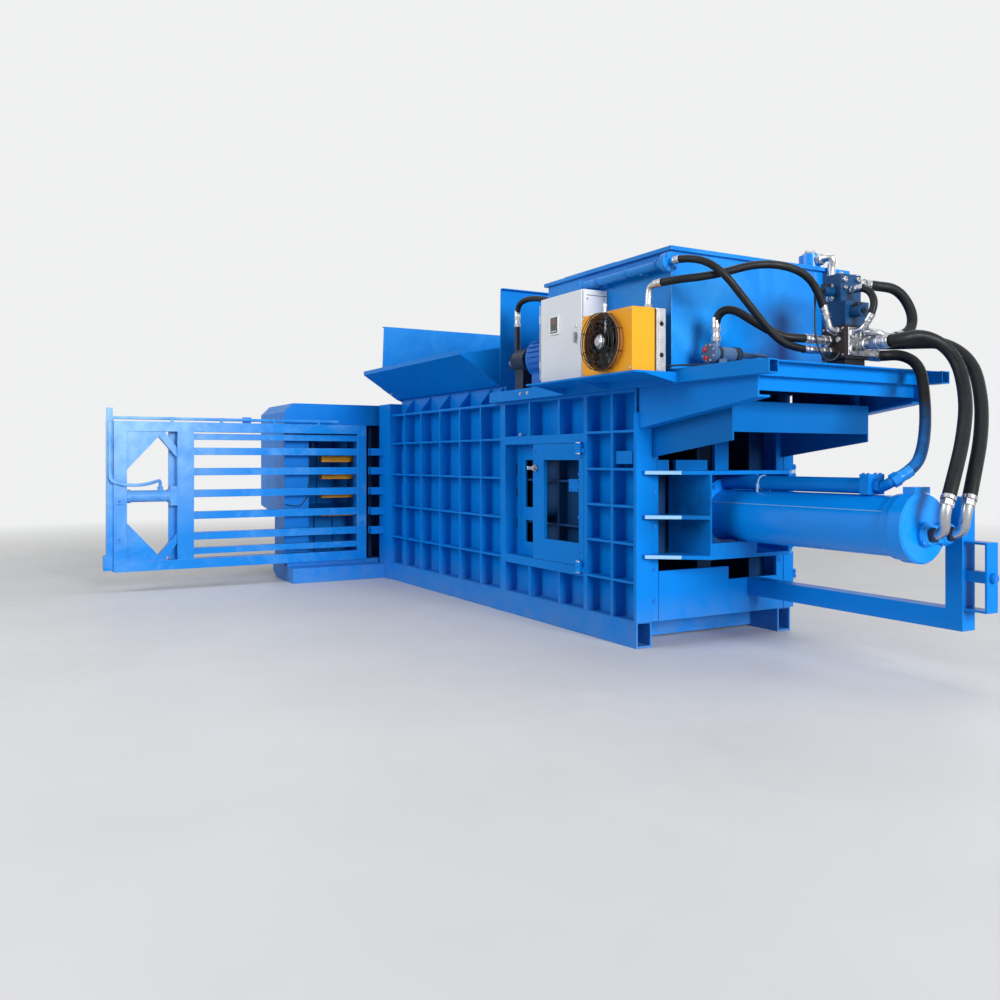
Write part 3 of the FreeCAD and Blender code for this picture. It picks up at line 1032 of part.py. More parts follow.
def fittings():
    """Steel elbows and unions between the hoses and what they serve."""
    x, y0, y1, z = BODY_LENGTH + 910, VALVE_Y0, VALVE_Y1, DECK_TOP
    cap_face = BARREL_X1 + CAP_LENGTH + 34
    cooler_top = SHELF_TOP + COOLER_HEIGHT
    pieces = [
        union((x, y0, z + 162), "filter_hose", -1, 24),
        union((x, y0, z + 100), "tank_hose", -1, 20),
        union((BODY_LENGTH + 595, -560, z + 155), "filter_hose", 0, 22),
        union((BODY_LENGTH - 1620, -600, z + 512), "pump_hose", 0, 20),
        union((TANK_X0, -600, z + 650), "pump_hose", -1, 20),
        union((x + 50, y1, z + 162), "cap_hose_far", 0, 30),
        union((x + 70, y1, z + 84), "rod_side_hose", 0, 28),
        union((x + 30, y1 - 13, z + 512), "valve_loop_hose", 0, 24),
        union((VALVE_X1, 150, z + 132), "cap_hose_near", 0, 30),
        union((VALVE_X1 - 45, 130, z + 457), "pilot_hose", 0, 18),
        fitting((x + 52, y0, z + 212), (0, -1, 0), "cooler_hose", -1, 22, 70, 50),
        fitting((VALVE_X1, 190, z + 207), (1, 0, 0), "valve_loop_hose", -1, 24, 80, 60),
        fitting((VALVE_X1, 100, z + 207), (1, 0, 0), "pilot_hose", -1, 17, 56, 30),
        fitting((cap_face, 0, AXIS_Z - 32), (1, 0, 0), "cap_hose_near", -1, 28, 80, 80),
        fitting((cap_face, 150, AXIS_Z - 32), (1, 0, 0), "cap_hose_far", -1, 28, 80, 80),
        fitting((COOLER_X0 + 462, COOLER_Y + 153, cooler_top), (0, 0, 1), "cooler_hose", 0, 19, 106, 44),
        rod("z", (COOLER_X0 + 132, COOLER_Y + 81, cooler_top), 12, 70),
        rod("z", (TANK_X1 - 86, 514, TANK_TOP + LID_THICK + 106), 30, 24),
    ]
    save("hydraulic_fittings", *pieces)


def hose_end(name, last):
    """End point of a hose and the way from there into its fitting."""
    points = HOSES[name][1]
    end = V(*points[last])
    inner = V(*points[-2 if last else 1])
    return end, (end - inner).normalize()


def nut(at, way, radius):
    """Union nut that ends on the point, its length running along the way."""
    turns = [math.radians(60 * i) for i in range(6)]
    outline = [(1.35 * radius * math.cos(a), 1.35 * radius * math.sin(a), 0) for a in turns]
    shape = prism(outline, (0, 0, 1.3 * radius))
    shape.Placement = FreeCAD.Placement(at, FreeCAD.Rotation(V(0, 0, 1), way))
    return shape


def union(port, name, last, radius):
    """Straight fitting from a port to the end of a hose."""
    port = V(*port)
    end, way = hose_end(name, last)
    shank = Part.makeCylinder(radius, (port - end).Length, end, way)
    return weld([shank, nut(end, way, radius), nut(port, V(0, 0, 0) - way, radius)])


def fitting(port, facing, name, last, radius, lead, tail):
    """Bent fitting: straight off its port, then in line with the hose."""
    port, facing = V(*port), V(*facing)
    end, way = hose_end(name, last)
    route = [port, port + facing * lead, end + way * tail, end]
    tube, _, _ = bent_tube([tuple(p) for p in route], radius, sides=HOSE_SIDES)
    return weld([tube, nut(end, way, radius), nut(port, facing, radius)])


def from_deck(points):
    """Route points given from the body's rear edge, the middle plane and the deck."""
    return [(BODY_LENGTH + x, y, DECK_TOP + z) for x, y, z in points]


HOSES = {
    "tank_hose": (22, from_deck([(512, -803, 619), (630, -803, 619), (785, -720, 552), (845, -540, 332),
                                 (880, -360, 142), (910, -220, 100), (910, -130, 100)])),
    "cooler_hose": (23, from_deck([(454, -888, 486), (574, -888, 486), (730, -690, 507), (860, -480, 577),
                                   (948, -270, 552), (962, -120, 452), (962, -60, 302)])),
    "filter_hose": (25, from_deck([(595, -560, 235), (595, -560, 312), (680, -520, 347), (780, -420, 247),
                                   (860, -300, 167), (910, -205, 162), (910, -120, 162)])),
    "valve_loop_hose": (30, from_deck([(940, 290, 512), (940, 380, 512), (1020, 500, 492), (1090, 545, 342),
                                       (1120, 480, 207), (1120, 345, 180)])),
    "pilot_hose": (21, from_deck([(1022, 130, 457), (1090, 130, 457), (1140, 140, 382), (1140, 120, 302),
                                  (1112, 112, 257)])),
    "cap_hose_near": (36, from_deck([(1150, 150, 132), (1250, 150, 132), (1340, 310, 172), (1440, 440, 52),
                                     (1550, 370, -198), (1650, 190, -428), (1720, 10, -628),
                                     (1730, -51, -740)])),
    "cap_hose_far": (36, from_deck([(960, 330, 162), (960, 430, 162), (1090, 560, 162), (1250, 620, 152),
                                    (1410, 640, 22), (1540, 520, -198), (1640, 360, -418), (1715, 180, -628),
                                    (1730, 120, -744)])),
    "rod_side_hose": (32, from_deck([(980, 310, 84), (980, 390, 84), (1060, 480, 92), (1160, 510, 22),
                                     (1250, 430, -158), (1350, 300, -358), (1430, 150, -523),
                                     (1435, 60, -593), (1398, 6, -634)])),
    "pump_hose": (22, from_deck([(-1620, -600, 592), (-1620, -600, 672), (-1530, -600, 712),
                                 (-1350, -600, 702), (-1190, -600, 662), (-1070, -600, 650),
                                 (-974, -600, 650)])),
}


def hoses():
    """Every hose lies free between two fittings."""
    for name, (radius, points) in HOSES.items():
        hose(name, points, radius)


def main():
    """Build every sub-part."""
    base_frame()
    far_side_wall()
    near_side_wall()
    access_door()
    body_roof()
    fixed_knife()
    rear_frame()
    hopper()
    portal()
    wire_guides()
    gate()
    ram()
    main_cylinder()
    support_arm()
    platform()
    rear_tray()
    oil_tank()
    cabinet()
    cooler()
    pump_set()
    inline_filter()
    valves()
    fittings()
    hoses()


main()
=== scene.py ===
"""Looks of the horizontal recycling baler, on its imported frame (metres)."""
import json
import math

import bmesh
import bpy
from mathutils import Matrix, Vector


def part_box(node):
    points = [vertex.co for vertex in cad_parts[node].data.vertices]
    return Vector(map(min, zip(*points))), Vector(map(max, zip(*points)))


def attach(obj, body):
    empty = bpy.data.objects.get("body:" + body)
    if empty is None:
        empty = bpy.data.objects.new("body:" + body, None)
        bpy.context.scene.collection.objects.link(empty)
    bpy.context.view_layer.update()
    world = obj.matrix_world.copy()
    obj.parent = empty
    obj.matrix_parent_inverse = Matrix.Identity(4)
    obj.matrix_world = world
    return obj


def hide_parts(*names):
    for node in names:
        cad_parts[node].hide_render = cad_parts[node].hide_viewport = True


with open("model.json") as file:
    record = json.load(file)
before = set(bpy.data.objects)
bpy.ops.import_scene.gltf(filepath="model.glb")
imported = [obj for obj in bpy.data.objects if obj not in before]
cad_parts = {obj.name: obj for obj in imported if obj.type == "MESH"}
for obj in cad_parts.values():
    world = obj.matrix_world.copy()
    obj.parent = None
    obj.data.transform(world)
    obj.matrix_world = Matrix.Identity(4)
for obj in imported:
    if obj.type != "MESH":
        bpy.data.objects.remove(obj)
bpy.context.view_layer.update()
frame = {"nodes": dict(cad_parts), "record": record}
scene = bpy.context.scene
FRAME = "press_frame"
BODY_REAR, DECK = 4.15, 1.738  # rear edge of the press body, and top of the platform
NEAR, FAR, REAR, MOUTH = (0, -1, 0), (0, 1, 0), (1, 0, 0), (-1, 0, 0)
UP, DOWN = (0, 0, 1), (0, 0, -1)

# ---- camera ----
CAMERA_AT, LENS_MM, SHIFT = (8.844, -4.329, 1.2), 33.37, -0.04
RIGHT, BACK = (0.492, 0.87, 0), (0.87, -0.492, 0)
cam_data = bpy.data.cameras.new("camera")
cam = bpy.data.objects.new("camera", cam_data)
scene.collection.objects.link(cam)
cam.matrix_world = Matrix.Translation(CAMERA_AT) @ Matrix((RIGHT, UP, BACK)).transposed().to_4x4()
cam_data.sensor_width = 36
cam_data.lens = LENS_MM
cam_data.shift_y = SHIFT
cam_data.clip_end = 200
scene.camera = cam


# ---- materials ----
class Nodes:
    """Shader nodes of a material or world, with short ways to add and join them."""

    def __init__(self, owner):
        owner.use_nodes = True
        self.tree = owner.node_tree

    def give(self, socket, value):
        """Joins an input to another node's output, or sets it to a plain value or colour."""
        if isinstance(value, bpy.types.NodeSocket):
            self.tree.links.new(value, socket)
        elif socket.type == "RGBA" and len(value) == 3:
            socket.default_value = (*value, 1)
        else:
            socket.default_value = value

    def fill(self, node, **inputs):
        """Node with these inputs given; a space in an input's name is written as an underscore."""
        for name, value in inputs.items():
            self.give(node.inputs[name.replace("_", " ")], value)
        return node

    def add(self, kind, **inputs):
        """New node with these inputs given."""
        return self.fill(self.tree.nodes.new("ShaderNode" + kind), **inputs)

    def work(self, kind, operation, *values):
        """New node that works out something from its first inputs."""
        node = self.add(kind)
        node.operation = operation
        for socket, value in zip(node.inputs, values):
            self.give(socket, value)
        return node

    def maths(self, operation, a, b):
        """Sum, product or another plain operation on two values."""
        return self.work("Math", operation, a, b).outputs[0]

    def times(self, a, b):
        """Product of two values."""
        return self.maths("MULTIPLY", a, b)

    def measure(self, operation, *vectors):
        """Number that comes of vectors, such as a length or a distance."""
        return self.work("VectorMath", operation, *vectors).outputs["Value"]

    def coordinate(self, where, axis):
        """One coordinate of a place, by the letter of its axis."""
        return self.add("SeparateXYZ", Vector=where).outputs[axis]

    def noise(self, where, scale, detail=4.0, rough=0.55, distort=0.0):
        """Noise texture read at the given coordinates."""
        return self.add("TexNoise", Vector=where, Scale=scale, Detail=detail, Roughness=rough,
                        Distortion=distort).outputs["Fac"]

    def ramp(self, value, *stops):
        """Colour ramp over a value; each stop is a place and a colour."""
        node = self.add("ValToRGB", Fac=value)
        slots = node.color_ramp.elements
        while len(slots) < len(stops):
            slots.new(0.5)
        for slot, (place, colour) in zip(slots, stops):
            slot.position = place
            slot.color = (*colour, 1)
        return node.outputs["Color"]

    def rise(self, value, low, high):
        """0 up to the low value, 1 from the high value on."""
        return self.ramp(value, (low, (0, 0, 0)), (high, (1, 1, 1)))

    def spread(self, value, low, high, out_low, out_high):
        """Value mapped to a new range and clamped."""
        return self.add("MapRange", Value=value, From_Min=low, From_Max=high, To_Min=out_low,
                        To_Max=out_high).outputs["Result"]

    def mix(self, fac, a, b, mode="MIX"):
        """Mix of two colours, each a socket or a plain colour."""
        node = self.add("Mix")
        node.data_type = "RGBA"
        node.blend_type = mode
        for socket, value in (("Factor", fac), (6, a), (7, b)):
            self.give(node.inputs[socket], value)
        return node.outputs[2]

    def edges(self, radius):
        """1 along outside and inside edges and 0 on the flats, and the normal rounded over them."""
        bevel = self.add("Bevel", Radius=radius)
        bevel.samples = 4
        normal = bevel.outputs["Normal"]
        same = self.measure("DOT_PRODUCT", normal, self.add("NewGeometry").outputs["Normal"])
        return self.spread(same, 0.995, 0.86, 0.0, 1.0), normal

    def patch(self, where, ragged, centre, reach, most):
        """Amount that fades out from a point, with a ragged edge."""
        near = self.spread(self.measure("DISTANCE", where, centre), reach, 0.0, 0.0, 1.0)
        return self.times(near, self.spread(ragged, 0.3, 0.62, most * 0.45, most))

    def relief(self, shader, height, strength, depth, **normal):
        """Bump on a shader, over a rounded normal if there is one."""
        bump = self.add("Bump", Height=height, Strength=strength, Distance=depth, **normal)
        self.fill(shader, Normal=bump.outputs["Normal"])

    def surface(self, output, fac, a, b):
        """Output that goes over from one shader to another."""
        node = self.add("MixShader")
        for socket, value in zip(node.inputs, (fac, a.outputs[0], b.outputs[0])):
            self.give(socket, value)
        self.fill(self.tree.nodes[output], Surface=node.outputs[0])


def new_material(name):
    """Material, its nodes, its shader, and places measured in the part's frame."""
    m = bpy.data.materials.new(name)
    nodes = Nodes(m)
    return m, nodes, nodes.tree.nodes["Principled BSDF"], nodes.add("TexCoord").outputs["Object"]


def paint_colour(nodes, where, fine, base, grime, cloud, cloud_and_sheen_to, painted_sheen_at, painted_shade_at, dust):
    """Colour of the flats: drifting tone, cloudy smears that on the gate and the tank stand for a painted
    sheen, a pale patch of painted sheen, stains, a dark patch of painted shade, and dust near the floor.
    """
    tone = nodes.ramp(nodes.noise(where, 1.1, 3, 0.5), (0.3, base * 0.95), (0.7, base * 1.05))
    cloud_and_sheen_colour = cloud_and_sheen_to or tuple(min(1.0, c * 1.12 + 0.012) for c in base)
    amount = nodes.times(nodes.rise(nodes.noise(where, 2.3, 7, 0.66, 1.2), 0.46, 0.74), cloud)
    # Pale patch round a point: a painted sheen.
    if painted_sheen_at:
        amount = nodes.maths("ADD", amount, nodes.patch(where, fine, *painted_sheen_at))
    cloudy = nodes.mix(amount, tone, cloud_and_sheen_colour)
    colour = nodes.mix(nodes.times(nodes.rise(fine, 0.5, 0.85), grime), cloudy, base * 0.72)
    # Dark patch round a point: a painted shade.
    if painted_shade_at:
        colour = nodes.mix(nodes.patch(where, fine, *painted_shade_at), colour, base * 0.16)
    if dust:
        low = nodes.spread(nodes.coordinate(where, "Z"), 0.34, 0.0, 0.0, 1.0)
        settled = nodes.times(nodes.times(low, nodes.spread(fine, 0.35, 0.65, 0.25, 1.0)), dust)
        colour = nodes.mix(settled, colour, (0.3, 0.33, 0.38))
    return colour


def painted(name, base, rough=0.34, metallic=0.0, gloss=0.28, coat=0.0, grime=0.2, bump=0.2, edge_wear_and_highlight=0.3,
            edge=0.004, glow=1.3, cloud=0.12, cloud_and_sheen_to=None, dust=0.0, edge_wear_and_highlight_to=None, painted_sheen_at=None,
            painted_shade_at=None):
    """Sprayed enamel with worn edges, lightened also as a painted highlight, and a faint orange peel."""
    m, nodes, shader, where = new_material(name)
    base = Vector(base)
    fine = nodes.noise(where, 7.0, 6, 0.62, 0.5)
    flats = paint_colour(nodes, where, fine, base, grime, cloud, cloud_and_sheen_to, painted_sheen_at, painted_shade_at, dust)
    mask, normal = nodes.edges(edge)
    patchy = nodes.spread(nodes.noise(where, 22.0, 5, 0.7), 0.4, 0.66, 0.25, 1.0)
    # Edge colour: worn paint and a painted highlight where light would catch the edges.
    bright = edge_wear_and_highlight_to or tuple(min(1.0, c * glow + 0.03) for c in base)
    nodes.fill(shader, Base_Color=nodes.mix(nodes.times(nodes.times(mask, patchy), edge_wear_and_highlight), flats, bright),
               Roughness=nodes.spread(fine, 0.3, 0.75, rough * 0.85, rough * 1.3), Metallic=metallic,
               Specular_IOR_Level=gloss, Coat_Weight=coat, Coat_Roughness=0.12)
    peel = nodes.times(nodes.noise(where, 160.0, 2, 0.5), 0.2)
    waves = nodes.noise(where, 2.6, 2, 0.4)
    nodes.relief(shader, nodes.maths("ADD", peel, waves), bump, 0.004, Normal=normal)
    return m


def metal(name, base, rough=0.3, brushed=None, pitted=0.1):
    """Bare or plated metal with smears, small pits and, if asked, brush lines."""
    m, nodes, shader, where = new_material(name)
    base = Vector(base)
    fine = nodes.noise(where, 38.0, 5, 0.6)
    tone = nodes.ramp(nodes.noise(where, 5.0, 3, 0.6), (0.3, base * 0.86), (0.72, base * 1.06))
    pits = nodes.times(nodes.rise(fine, 0.55, 0.8), pitted * 3)
    nodes.fill(shader, Base_Color=nodes.mix(pits, tone, base * 0.45), Metallic=1.0,
               Roughness=nodes.spread(fine, 0.3, 0.75, rough * 0.75, rough * 1.4))
    height = nodes.noise(where, 90.0, 3, 0.5)
    if brushed:
        drawn_out = nodes.add("Mapping", Vector=where, Scale=brushed).outputs["Vector"]
        height = nodes.noise(drawn_out, 60.0, 3, 0.6)
    nodes.relief(shader, height, 0.12, 0.001, Normal=nodes.edges(0.0015)[1])
    return m


def rubber(name, sprayed=None):
    """Hose cover: fine cloth print under a little dust, oversprayed blue between two heights if asked."""
    m, nodes, shader, where = new_material(name)
    base = Vector((0.005, 0.006, 0.008))
    dusty = base * 2.0 + Vector((0.005, 0.005, 0.005))
    cover = nodes.ramp(nodes.noise(where, 14.0, 6, 0.7, 0.3), (0.45, base), (0.85, dusty))
    if sprayed:
        low = nodes.spread(nodes.coordinate(where, "Z"), sprayed[1], sprayed[0], 0.0, 1.0)
        streaks = nodes.spread(nodes.noise(where, 9.0, 4, 0.6), 0.35, 0.6, 0.35, 1.0)
        cover = nodes.mix(nodes.times(low, streaks), cover, (0.001, 0.13, 0.44))
    nodes.fill(shader, Base_Color=cover, Specular_IOR_Level=0.2,
               Roughness=nodes.spread(nodes.noise(where, 30.0, 4, 0.6), 0.3, 0.7, 0.3825, 0.585))
    weave = nodes.add("TexVoronoi", Vector=where, Scale=420.0).outputs["Distance"]
    nodes.relief(shader, weave, 0.22, 0.0008)
    return m


def glassy(name, base):
    """Dark glossy panel, such as a display or a lamp lens."""
    m, nodes, shader, where = new_material(name)
    lighter = tuple(c * 1.25 + 0.004 for c in base)
    nodes.fill(shader, Base_Color=nodes.ramp(nodes.noise(where, 20.0, 3), (0.35, base), (0.75, lighter)),
               Roughness=nodes.spread(nodes.noise(where, 45.0, 4), 0.3, 0.7, 0.08, 0.176), Coat_Weight=0.6)
    return m


# Edge colours are worn paint with a painted highlight on it.
BLUE, BLUE_WORN_AND_LIT_EDGE = (0.0008, 0.185, 0.62), (0.05, 0.36, 0.8)
WORN_AND_LIT_EDGE_BLUE = (0.25, 0.55, 0.86)  # worn edges of the tank and the barrel, with a painted highlight on them
BLUE_LOOK = {"dust": 0.22, "edge_wear_and_highlight_to": BLUE_WORN_AND_LIT_EDGE, "edge_wear_and_highlight": 0.5, "gloss": 0.1}
ZINC = (0.55, 0.56, 0.58)
MATS = {
    "blue_paint": painted("blue_enamel", BLUE, **BLUE_LOOK),
    # The gate's pale clouds and its pale patch at the upper left are a painted sheen.
    "gate_paint": painted(
        "gate_enamel", (0.001, 0.2, 0.64), cloud=0.22, cloud_and_sheen_to=(0.34, 0.6, 0.88), grime=0.1,
        edge_wear_and_highlight_to=(0.28, 0.58, 0.86), edge_wear_and_highlight=0.7, gloss=0.12, painted_sheen_at=((-0.15, -3.2, 1.75), 1.4, 0.95)),
    "knife_steel": metal("ground_steel", (0.34, 0.35, 0.37), 0.34, brushed=(1, 12, 1), pitted=0.2),
    "polished_rod": metal("hard_chrome", (0.74, 0.75, 0.77), 0.12, pitted=0.02),
    "plain_steel": metal("plain_steel", (0.42, 0.43, 0.45), 0.36, pitted=0.15),
    "guide_yellow": painted("yellow_enamel", (0.95, 0.42, 0.02), glow=1.1),
    "cabinet_grey": painted(
        "cabinet_coat", (0.7, 0.735, 0.775), rough=0.42, grime=0.06, edge_wear_and_highlight=0.15, edge=0.003, glow=1.1,
        bump=0.1, cloud=0.05),
    "cooler_paint": painted(
        "cooler_enamel", (0.8, 0.35, 0.016), grime=0.08, edge_wear_and_highlight=0.2, edge=0.003, glow=1.1, bump=0.1),
    "cooler_aluminium": metal("cooler_aluminium", ZINC, 0.42, pitted=0.1),
    "fan_black": painted("fan_black", (0.01, 0.011, 0.014), rough=0.38, edge=0.001, glow=2.5),
    "filter_grey": painted("filter_grey", (0.06, 0.125, 0.24), edge=0.002, gloss=0.4),
    "filter_chrome": metal("filter_chrome", ZINC, 0.2, pitted=0.08),
    "manifold_dark": painted(
        "manifold_black", (0.018, 0.016, 0.02), rough=0.4, metallic=0.3, edge=0.002, glow=3.0, edge_wear_and_highlight=0.5),
    "valve_blue": painted("valve_blue", (0.001, 0.045, 0.14), edge=0.002, edge_wear_and_highlight=0.5, glow=2.0, gloss=0.4),
    "fitting_chrome": metal("bright_zinc", ZINC, 0.3, pitted=0.2),
    "motor_blue": painted("motor_enamel", (0.003, 0.13, 0.52)),
    "pump_dark": painted(
        "pump_dark", (0.016, 0.026, 0.05), rough=0.42, metallic=0.2, edge=0.002, glow=2.2),
    "hose_rubber": rubber("hose_rubber"),
}
DARK = painted("dark_seal", (0.008, 0.008, 0.01), rough=0.5, edge=0.001)
BOLT = metal("bolt_zinc", (0.5, 0.51, 0.53), 0.3, pitted=0.2)
BOLT_BLUE = painted("bolt_enamel", (0.004, 0.16, 0.6), edge=0.0015, edge_wear_and_highlight=0.6)
# Pale blue for painted highlights and glints, also used on the shelf edges.
PALE_HIGHLIGHT = painted("pale_highlight_enamel", (0.24, 0.46, 0.7), rough=0.3, edge=0.002, glow=1.15, gloss=0.5)
# The tank's pale clouds and its pale patch high on its end are a painted reflection.
TANK_BLUE = painted(
    "tank_enamel", (0.0008, 0.205, 0.66), rough=0.24, gloss=0.3, edge_wear_and_highlight_to=WORN_AND_LIT_EDGE_BLUE, edge_wear_and_highlight=0.7, cloud=0.4,
    cloud_and_sheen_to=(0.05, 0.38, 0.84), painted_sheen_at=((4.57, -0.45, 2.2), 0.35, 0.3))
BARREL_BLUE = painted(
    "barrel_enamel", (0.0008, 0.225, 0.74), rough=0.24, gloss=0.25, coat=0.15, edge_wear_and_highlight_to=WORN_AND_LIT_EDGE_BLUE, edge_wear_and_highlight=0.7,
    bump=0.08)
# The rear frame's dark patch between its shelves is a painted shade.
REAR_BLUE = painted("rear_enamel", BLUE, painted_shade_at=((4.3, -0.34, 0.86), 0.42, 0.9), **BLUE_LOOK)
# Darker copy of the blue for the rear tray: painted shade.
TRAY_SHADE_BLUE = painted("tray_painted_shade", (0.0008, 0.125, 0.42), edge_wear_and_highlight_to=BLUE_WORN_AND_LIT_EDGE, edge_wear_and_highlight=0.5, gloss=0.1)
# Dark blue for the ram's box and the discharge channel's side plate: painted shade.
SHADED_INNER_BLUE = painted(
    "inner_painted_shade", (0.001, 0.04, 0.14), rough=0.5, grime=0.5, edge_wear_and_highlight_to=(0.02, 0.12, 0.3), edge_wear_and_highlight=0.4)
RED = painted("plug_red", (0.5, 0.02, 0.01), rough=0.4, edge=0.001)
# Brown for the drum's lip: painted shade on the cooler's yellow.
DRUM_SHADE_BROWN = painted("drum_painted_shade", (0.3, 0.12, 0.03), rough=0.4, edge=0.002)
SCREEN = glassy("screen_glass", (0.012, 0.014, 0.018))
UPPER_LENS = glassy("upper_lens", (0.11, 0.03, 0.022))
GREY_CAST = metal("machined_steel", (0.4, 0.41, 0.44), 0.34, pitted=0.25)
SIDE_CAST = painted(
    "side_cast", (0.045, 0.03, 0.024), rough=0.45, metallic=0.5, edge=0.002, glow=2.0, grime=0.5)
WIRE = painted("wire_sheath", (0.01, 0.022, 0.04), rough=0.4, edge=0.001)
WHITE = painted("screen_frame", (0.8, 0.82, 0.84), rough=0.4, edge=0.001, glow=1.05, grime=0.05)
CHROME, MOTOR_BLUE, BLUE_PAINT = MATS["fitting_chrome"], MATS["motor_blue"], MATS["blue_paint"]
GATE_PAINT, PUMP_DARK = MATS["gate_paint"], MATS["pump_dark"]
SLOT_OF = {mat.name: slot for slot, mat in MATS.items()}
OTHER_BLUES = (BOLT_BLUE, PALE_HIGHLIGHT, TANK_BLUE, BARREL_BLUE, SHADED_INNER_BLUE)
SLOT_OF.update({mat.name: "blue_paint" for mat in OTHER_BLUES})
NODE_MATS = {"rear_tray": TRAY_SHADE_BLUE, "ram_box": SHADED_INNER_BLUE, "rear_frame": REAR_BLUE,
             "cylinder_cap": BARREL_BLUE, "cylinder_barrel": BARREL_BLUE, "return_filter": TANK_BLUE,
             "oil_tank": TANK_BLUE, "tank_lid": TANK_BLUE, "tank_pipe": TANK_BLUE,
             "hopper_end_wall": TANK_BLUE}
for part in frame["record"]["subparts"]:
    node = frame["nodes"][part["node"]]
    if not node.material_slots:
        node.data.materials.append(None)
    for material_slot in node.material_slots:
        material_slot.material = NODE_MATS.get(part["node"], MATS[part["material_slot"]])


# ---- drawing ----
def piece(name, shapes, mat, body=FRAME, slot=None, smooth=False):
    """Piece on a body, from drawing functions and their values, in one material; the slot argument is not
    used.
    """
    bm = bmesh.new()
    for draw, *values in shapes:
        draw(bm, *values)
    bmesh.ops.recalc_face_normals(bm, faces=bm.faces[:])
    mesh = bpy.data.meshes.new(name)
    bm.to_mesh(mesh)
    bm.free()
    for face in mesh.polygons:
        face.use_smooth = smooth
    mesh.materials.append(mat)
    obj = bpy.data.objects.new(name, mesh)
    scene.collection.objects.link(obj)
    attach(obj, body)
    slot = slot or SLOT_OF.get(mat.name)
    return obj


def turned(bm, at, way, outline, sides=24):
    """Solid of revolution about the line at + t * way; outline is (t, radius)."""
    way = Vector(way).normalized()
    side = way.orthogonal().normalized()
    other = way.cross(side)
    rings = []
    for t, r in outline:
        centre = Vector(at) + way * t
        turns = [2 * math.pi * i / sides for i in range(sides)] if r else [0.0]
        rings.append([bm.verts.new(centre + (side * math.cos(a) + other * math.sin(a)) * r) for a in turns])
    for lower, upper in zip(rings, rings[1:]):
        for i in range(sides):
            quad = (lower, i), (lower, i + 1), (upper, i + 1), (upper, i)
            bm.faces.new(list(dict.fromkeys(ring[k % len(ring)] for ring, k in quad)))


def prism(bm, first, last):
    """Closed solid between two outlines with as many corners."""
    a, b = [[bm.verts.new(p) for p in outline] for outline in (first, last)]
    bm.faces.new(a)
    bm.faces.new(b[::-1])
    for i in range(len(a)):
        bm.faces.new((a[i], a[i - 1], b[i - 1], b[i]))


def slab(bm, lo, hi, bevel=0.0):
    """Box between two corners with eased edges."""
    lo, hi = Vector(lo), Vector(hi)
    made = bmesh.ops.create_cube(bm, size=1.0)["verts"]
    for v in made:
        v.co = Vector((lo[i] + (v.co[i] + 0.5) * (hi[i] - lo[i]) for i in range(3)))
    if bevel:
        edges = list({e for v in made for e in v.link_edges})
        bmesh.ops.bevel(bm, geom=edges, offset=bevel, segments=2, affect="EDGES", profile=0.6)


def hex_bolt(bm, at, way, size):
    """Hexagon head with chamfer on a washer; size is half the width across corners."""
    turned(bm, at, way, [(size * t, size * r) for t, r in ((0, 0), (0, 1.45), (0.18, 1.45), (0.18, 0))], 20)
    turned(bm, at, way, [
        (size * t, size * r) for t, r in ((0.18, 0), (0.18, 1), (0.72, 1), (0.85, 0.84), (0.85, 0))], 6)


def stud(bm, at, way, radius, straight, top, length, sides=6):
    """Plug or nut: straight for part of its length, then drawn in to the radius of its top."""
    turned(bm, at, way, [(0, 0), (0, radius), (straight, radius), (length, top), (length, 0)], sides)


def band(bm, at, way, inner, outer, width, sides):
    """Plain ring round a pipe."""
    turned(bm, at, way, [(0, inner), (0, outer), (width, outer), (width, inner)], sides)


def bead(bm, start, end, radius, pitch=0.02):
    """Weld bead with its ripples, from one point to another."""
    start, end = Vector(start), Vector(end)
    length = (end - start).length
    count = max(3, int(length / pitch))
    outline = [(0, 0)]
    for i in range(count):
        t = length * i / count
        outline += [(t + length * 0.1 / count, radius * 0.82), (t + length * 0.6 / count, radius)]
    turned(bm, start, end - start, outline + [(length, radius * 0.8), (length, 0)], 6)


def round_wire(bm, points, radius):
    """Bent wire through the given points."""
    for a, b in zip(points, points[1:]):
        a, b = Vector(a), Vector(b)
        length = (b - a).length
        turned(bm, a, b - a, [(0, 0), (0, radius), (length, radius), (length, 0)], 6)


def hoop(bm, centre, way, ring_radius, wire_radius, sides=48):
    """Wire ring about a line."""
    turns = [2 * math.pi * i / 8 for i in range(9)]
    rim = [(math.cos(a) * wire_radius, ring_radius + math.sin(a) * wire_radius) for a in turns]
    turned(bm, centre, way, rim, sides)


def around(centre, radius, count, axis, start=0.0):
    """Evenly spaced points round a line along axis 0, 1 or 2; the first lies start steps round."""
    one, two = (i for i in range(3) if i != axis)
    points = []
    for i in range(count):
        turn = 2 * math.pi * (i + start) / count
        point = Vector(centre)
        point[one] += math.cos(turn) * radius
        point[two] += math.sin(turn) * radius
        points.append(point)
    return points


def bolt_group(name, places, size, mat, body=FRAME, slot=None):
    """Hexagon bolts of one size, in lists of places by the way that their bolts face."""
    heads = [(hex_bolt, at, way, size) for way, spots in places.items() for at in spots]
    piece(name, heads, mat, body, slot)


def tube_curve(name, points, radius, mat):
    """Round line through the space near the given control points."""
    data = bpy.data.curves.new(name, "CURVE")
    data.dimensions = "3D"
    data.bevel_depth = radius
    data.bevel_resolution = 5
    data.resolution_u = 16
    data.use_fill_caps = True
    line = data.splines.new("NURBS")
    line.points.add(len(points) - 1)
    for p, co in zip(line.points, points):
        p.co = (*co, 1)
    line.order_u = 3
    line.use_endpoint_u = True
    data.materials.append(mat)
    obj = bpy.data.objects.new(name, data)
    scene.collection.objects.link(obj)
    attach(obj, FRAME)
    return obj


# ---- hoses ----
def from_deck(x, y, z):
    """Point given in mm from the body's rear edge, the middle plane and the deck."""
    return BODY_REAR + x / 1000, y / 1000, DECK + z / 1000


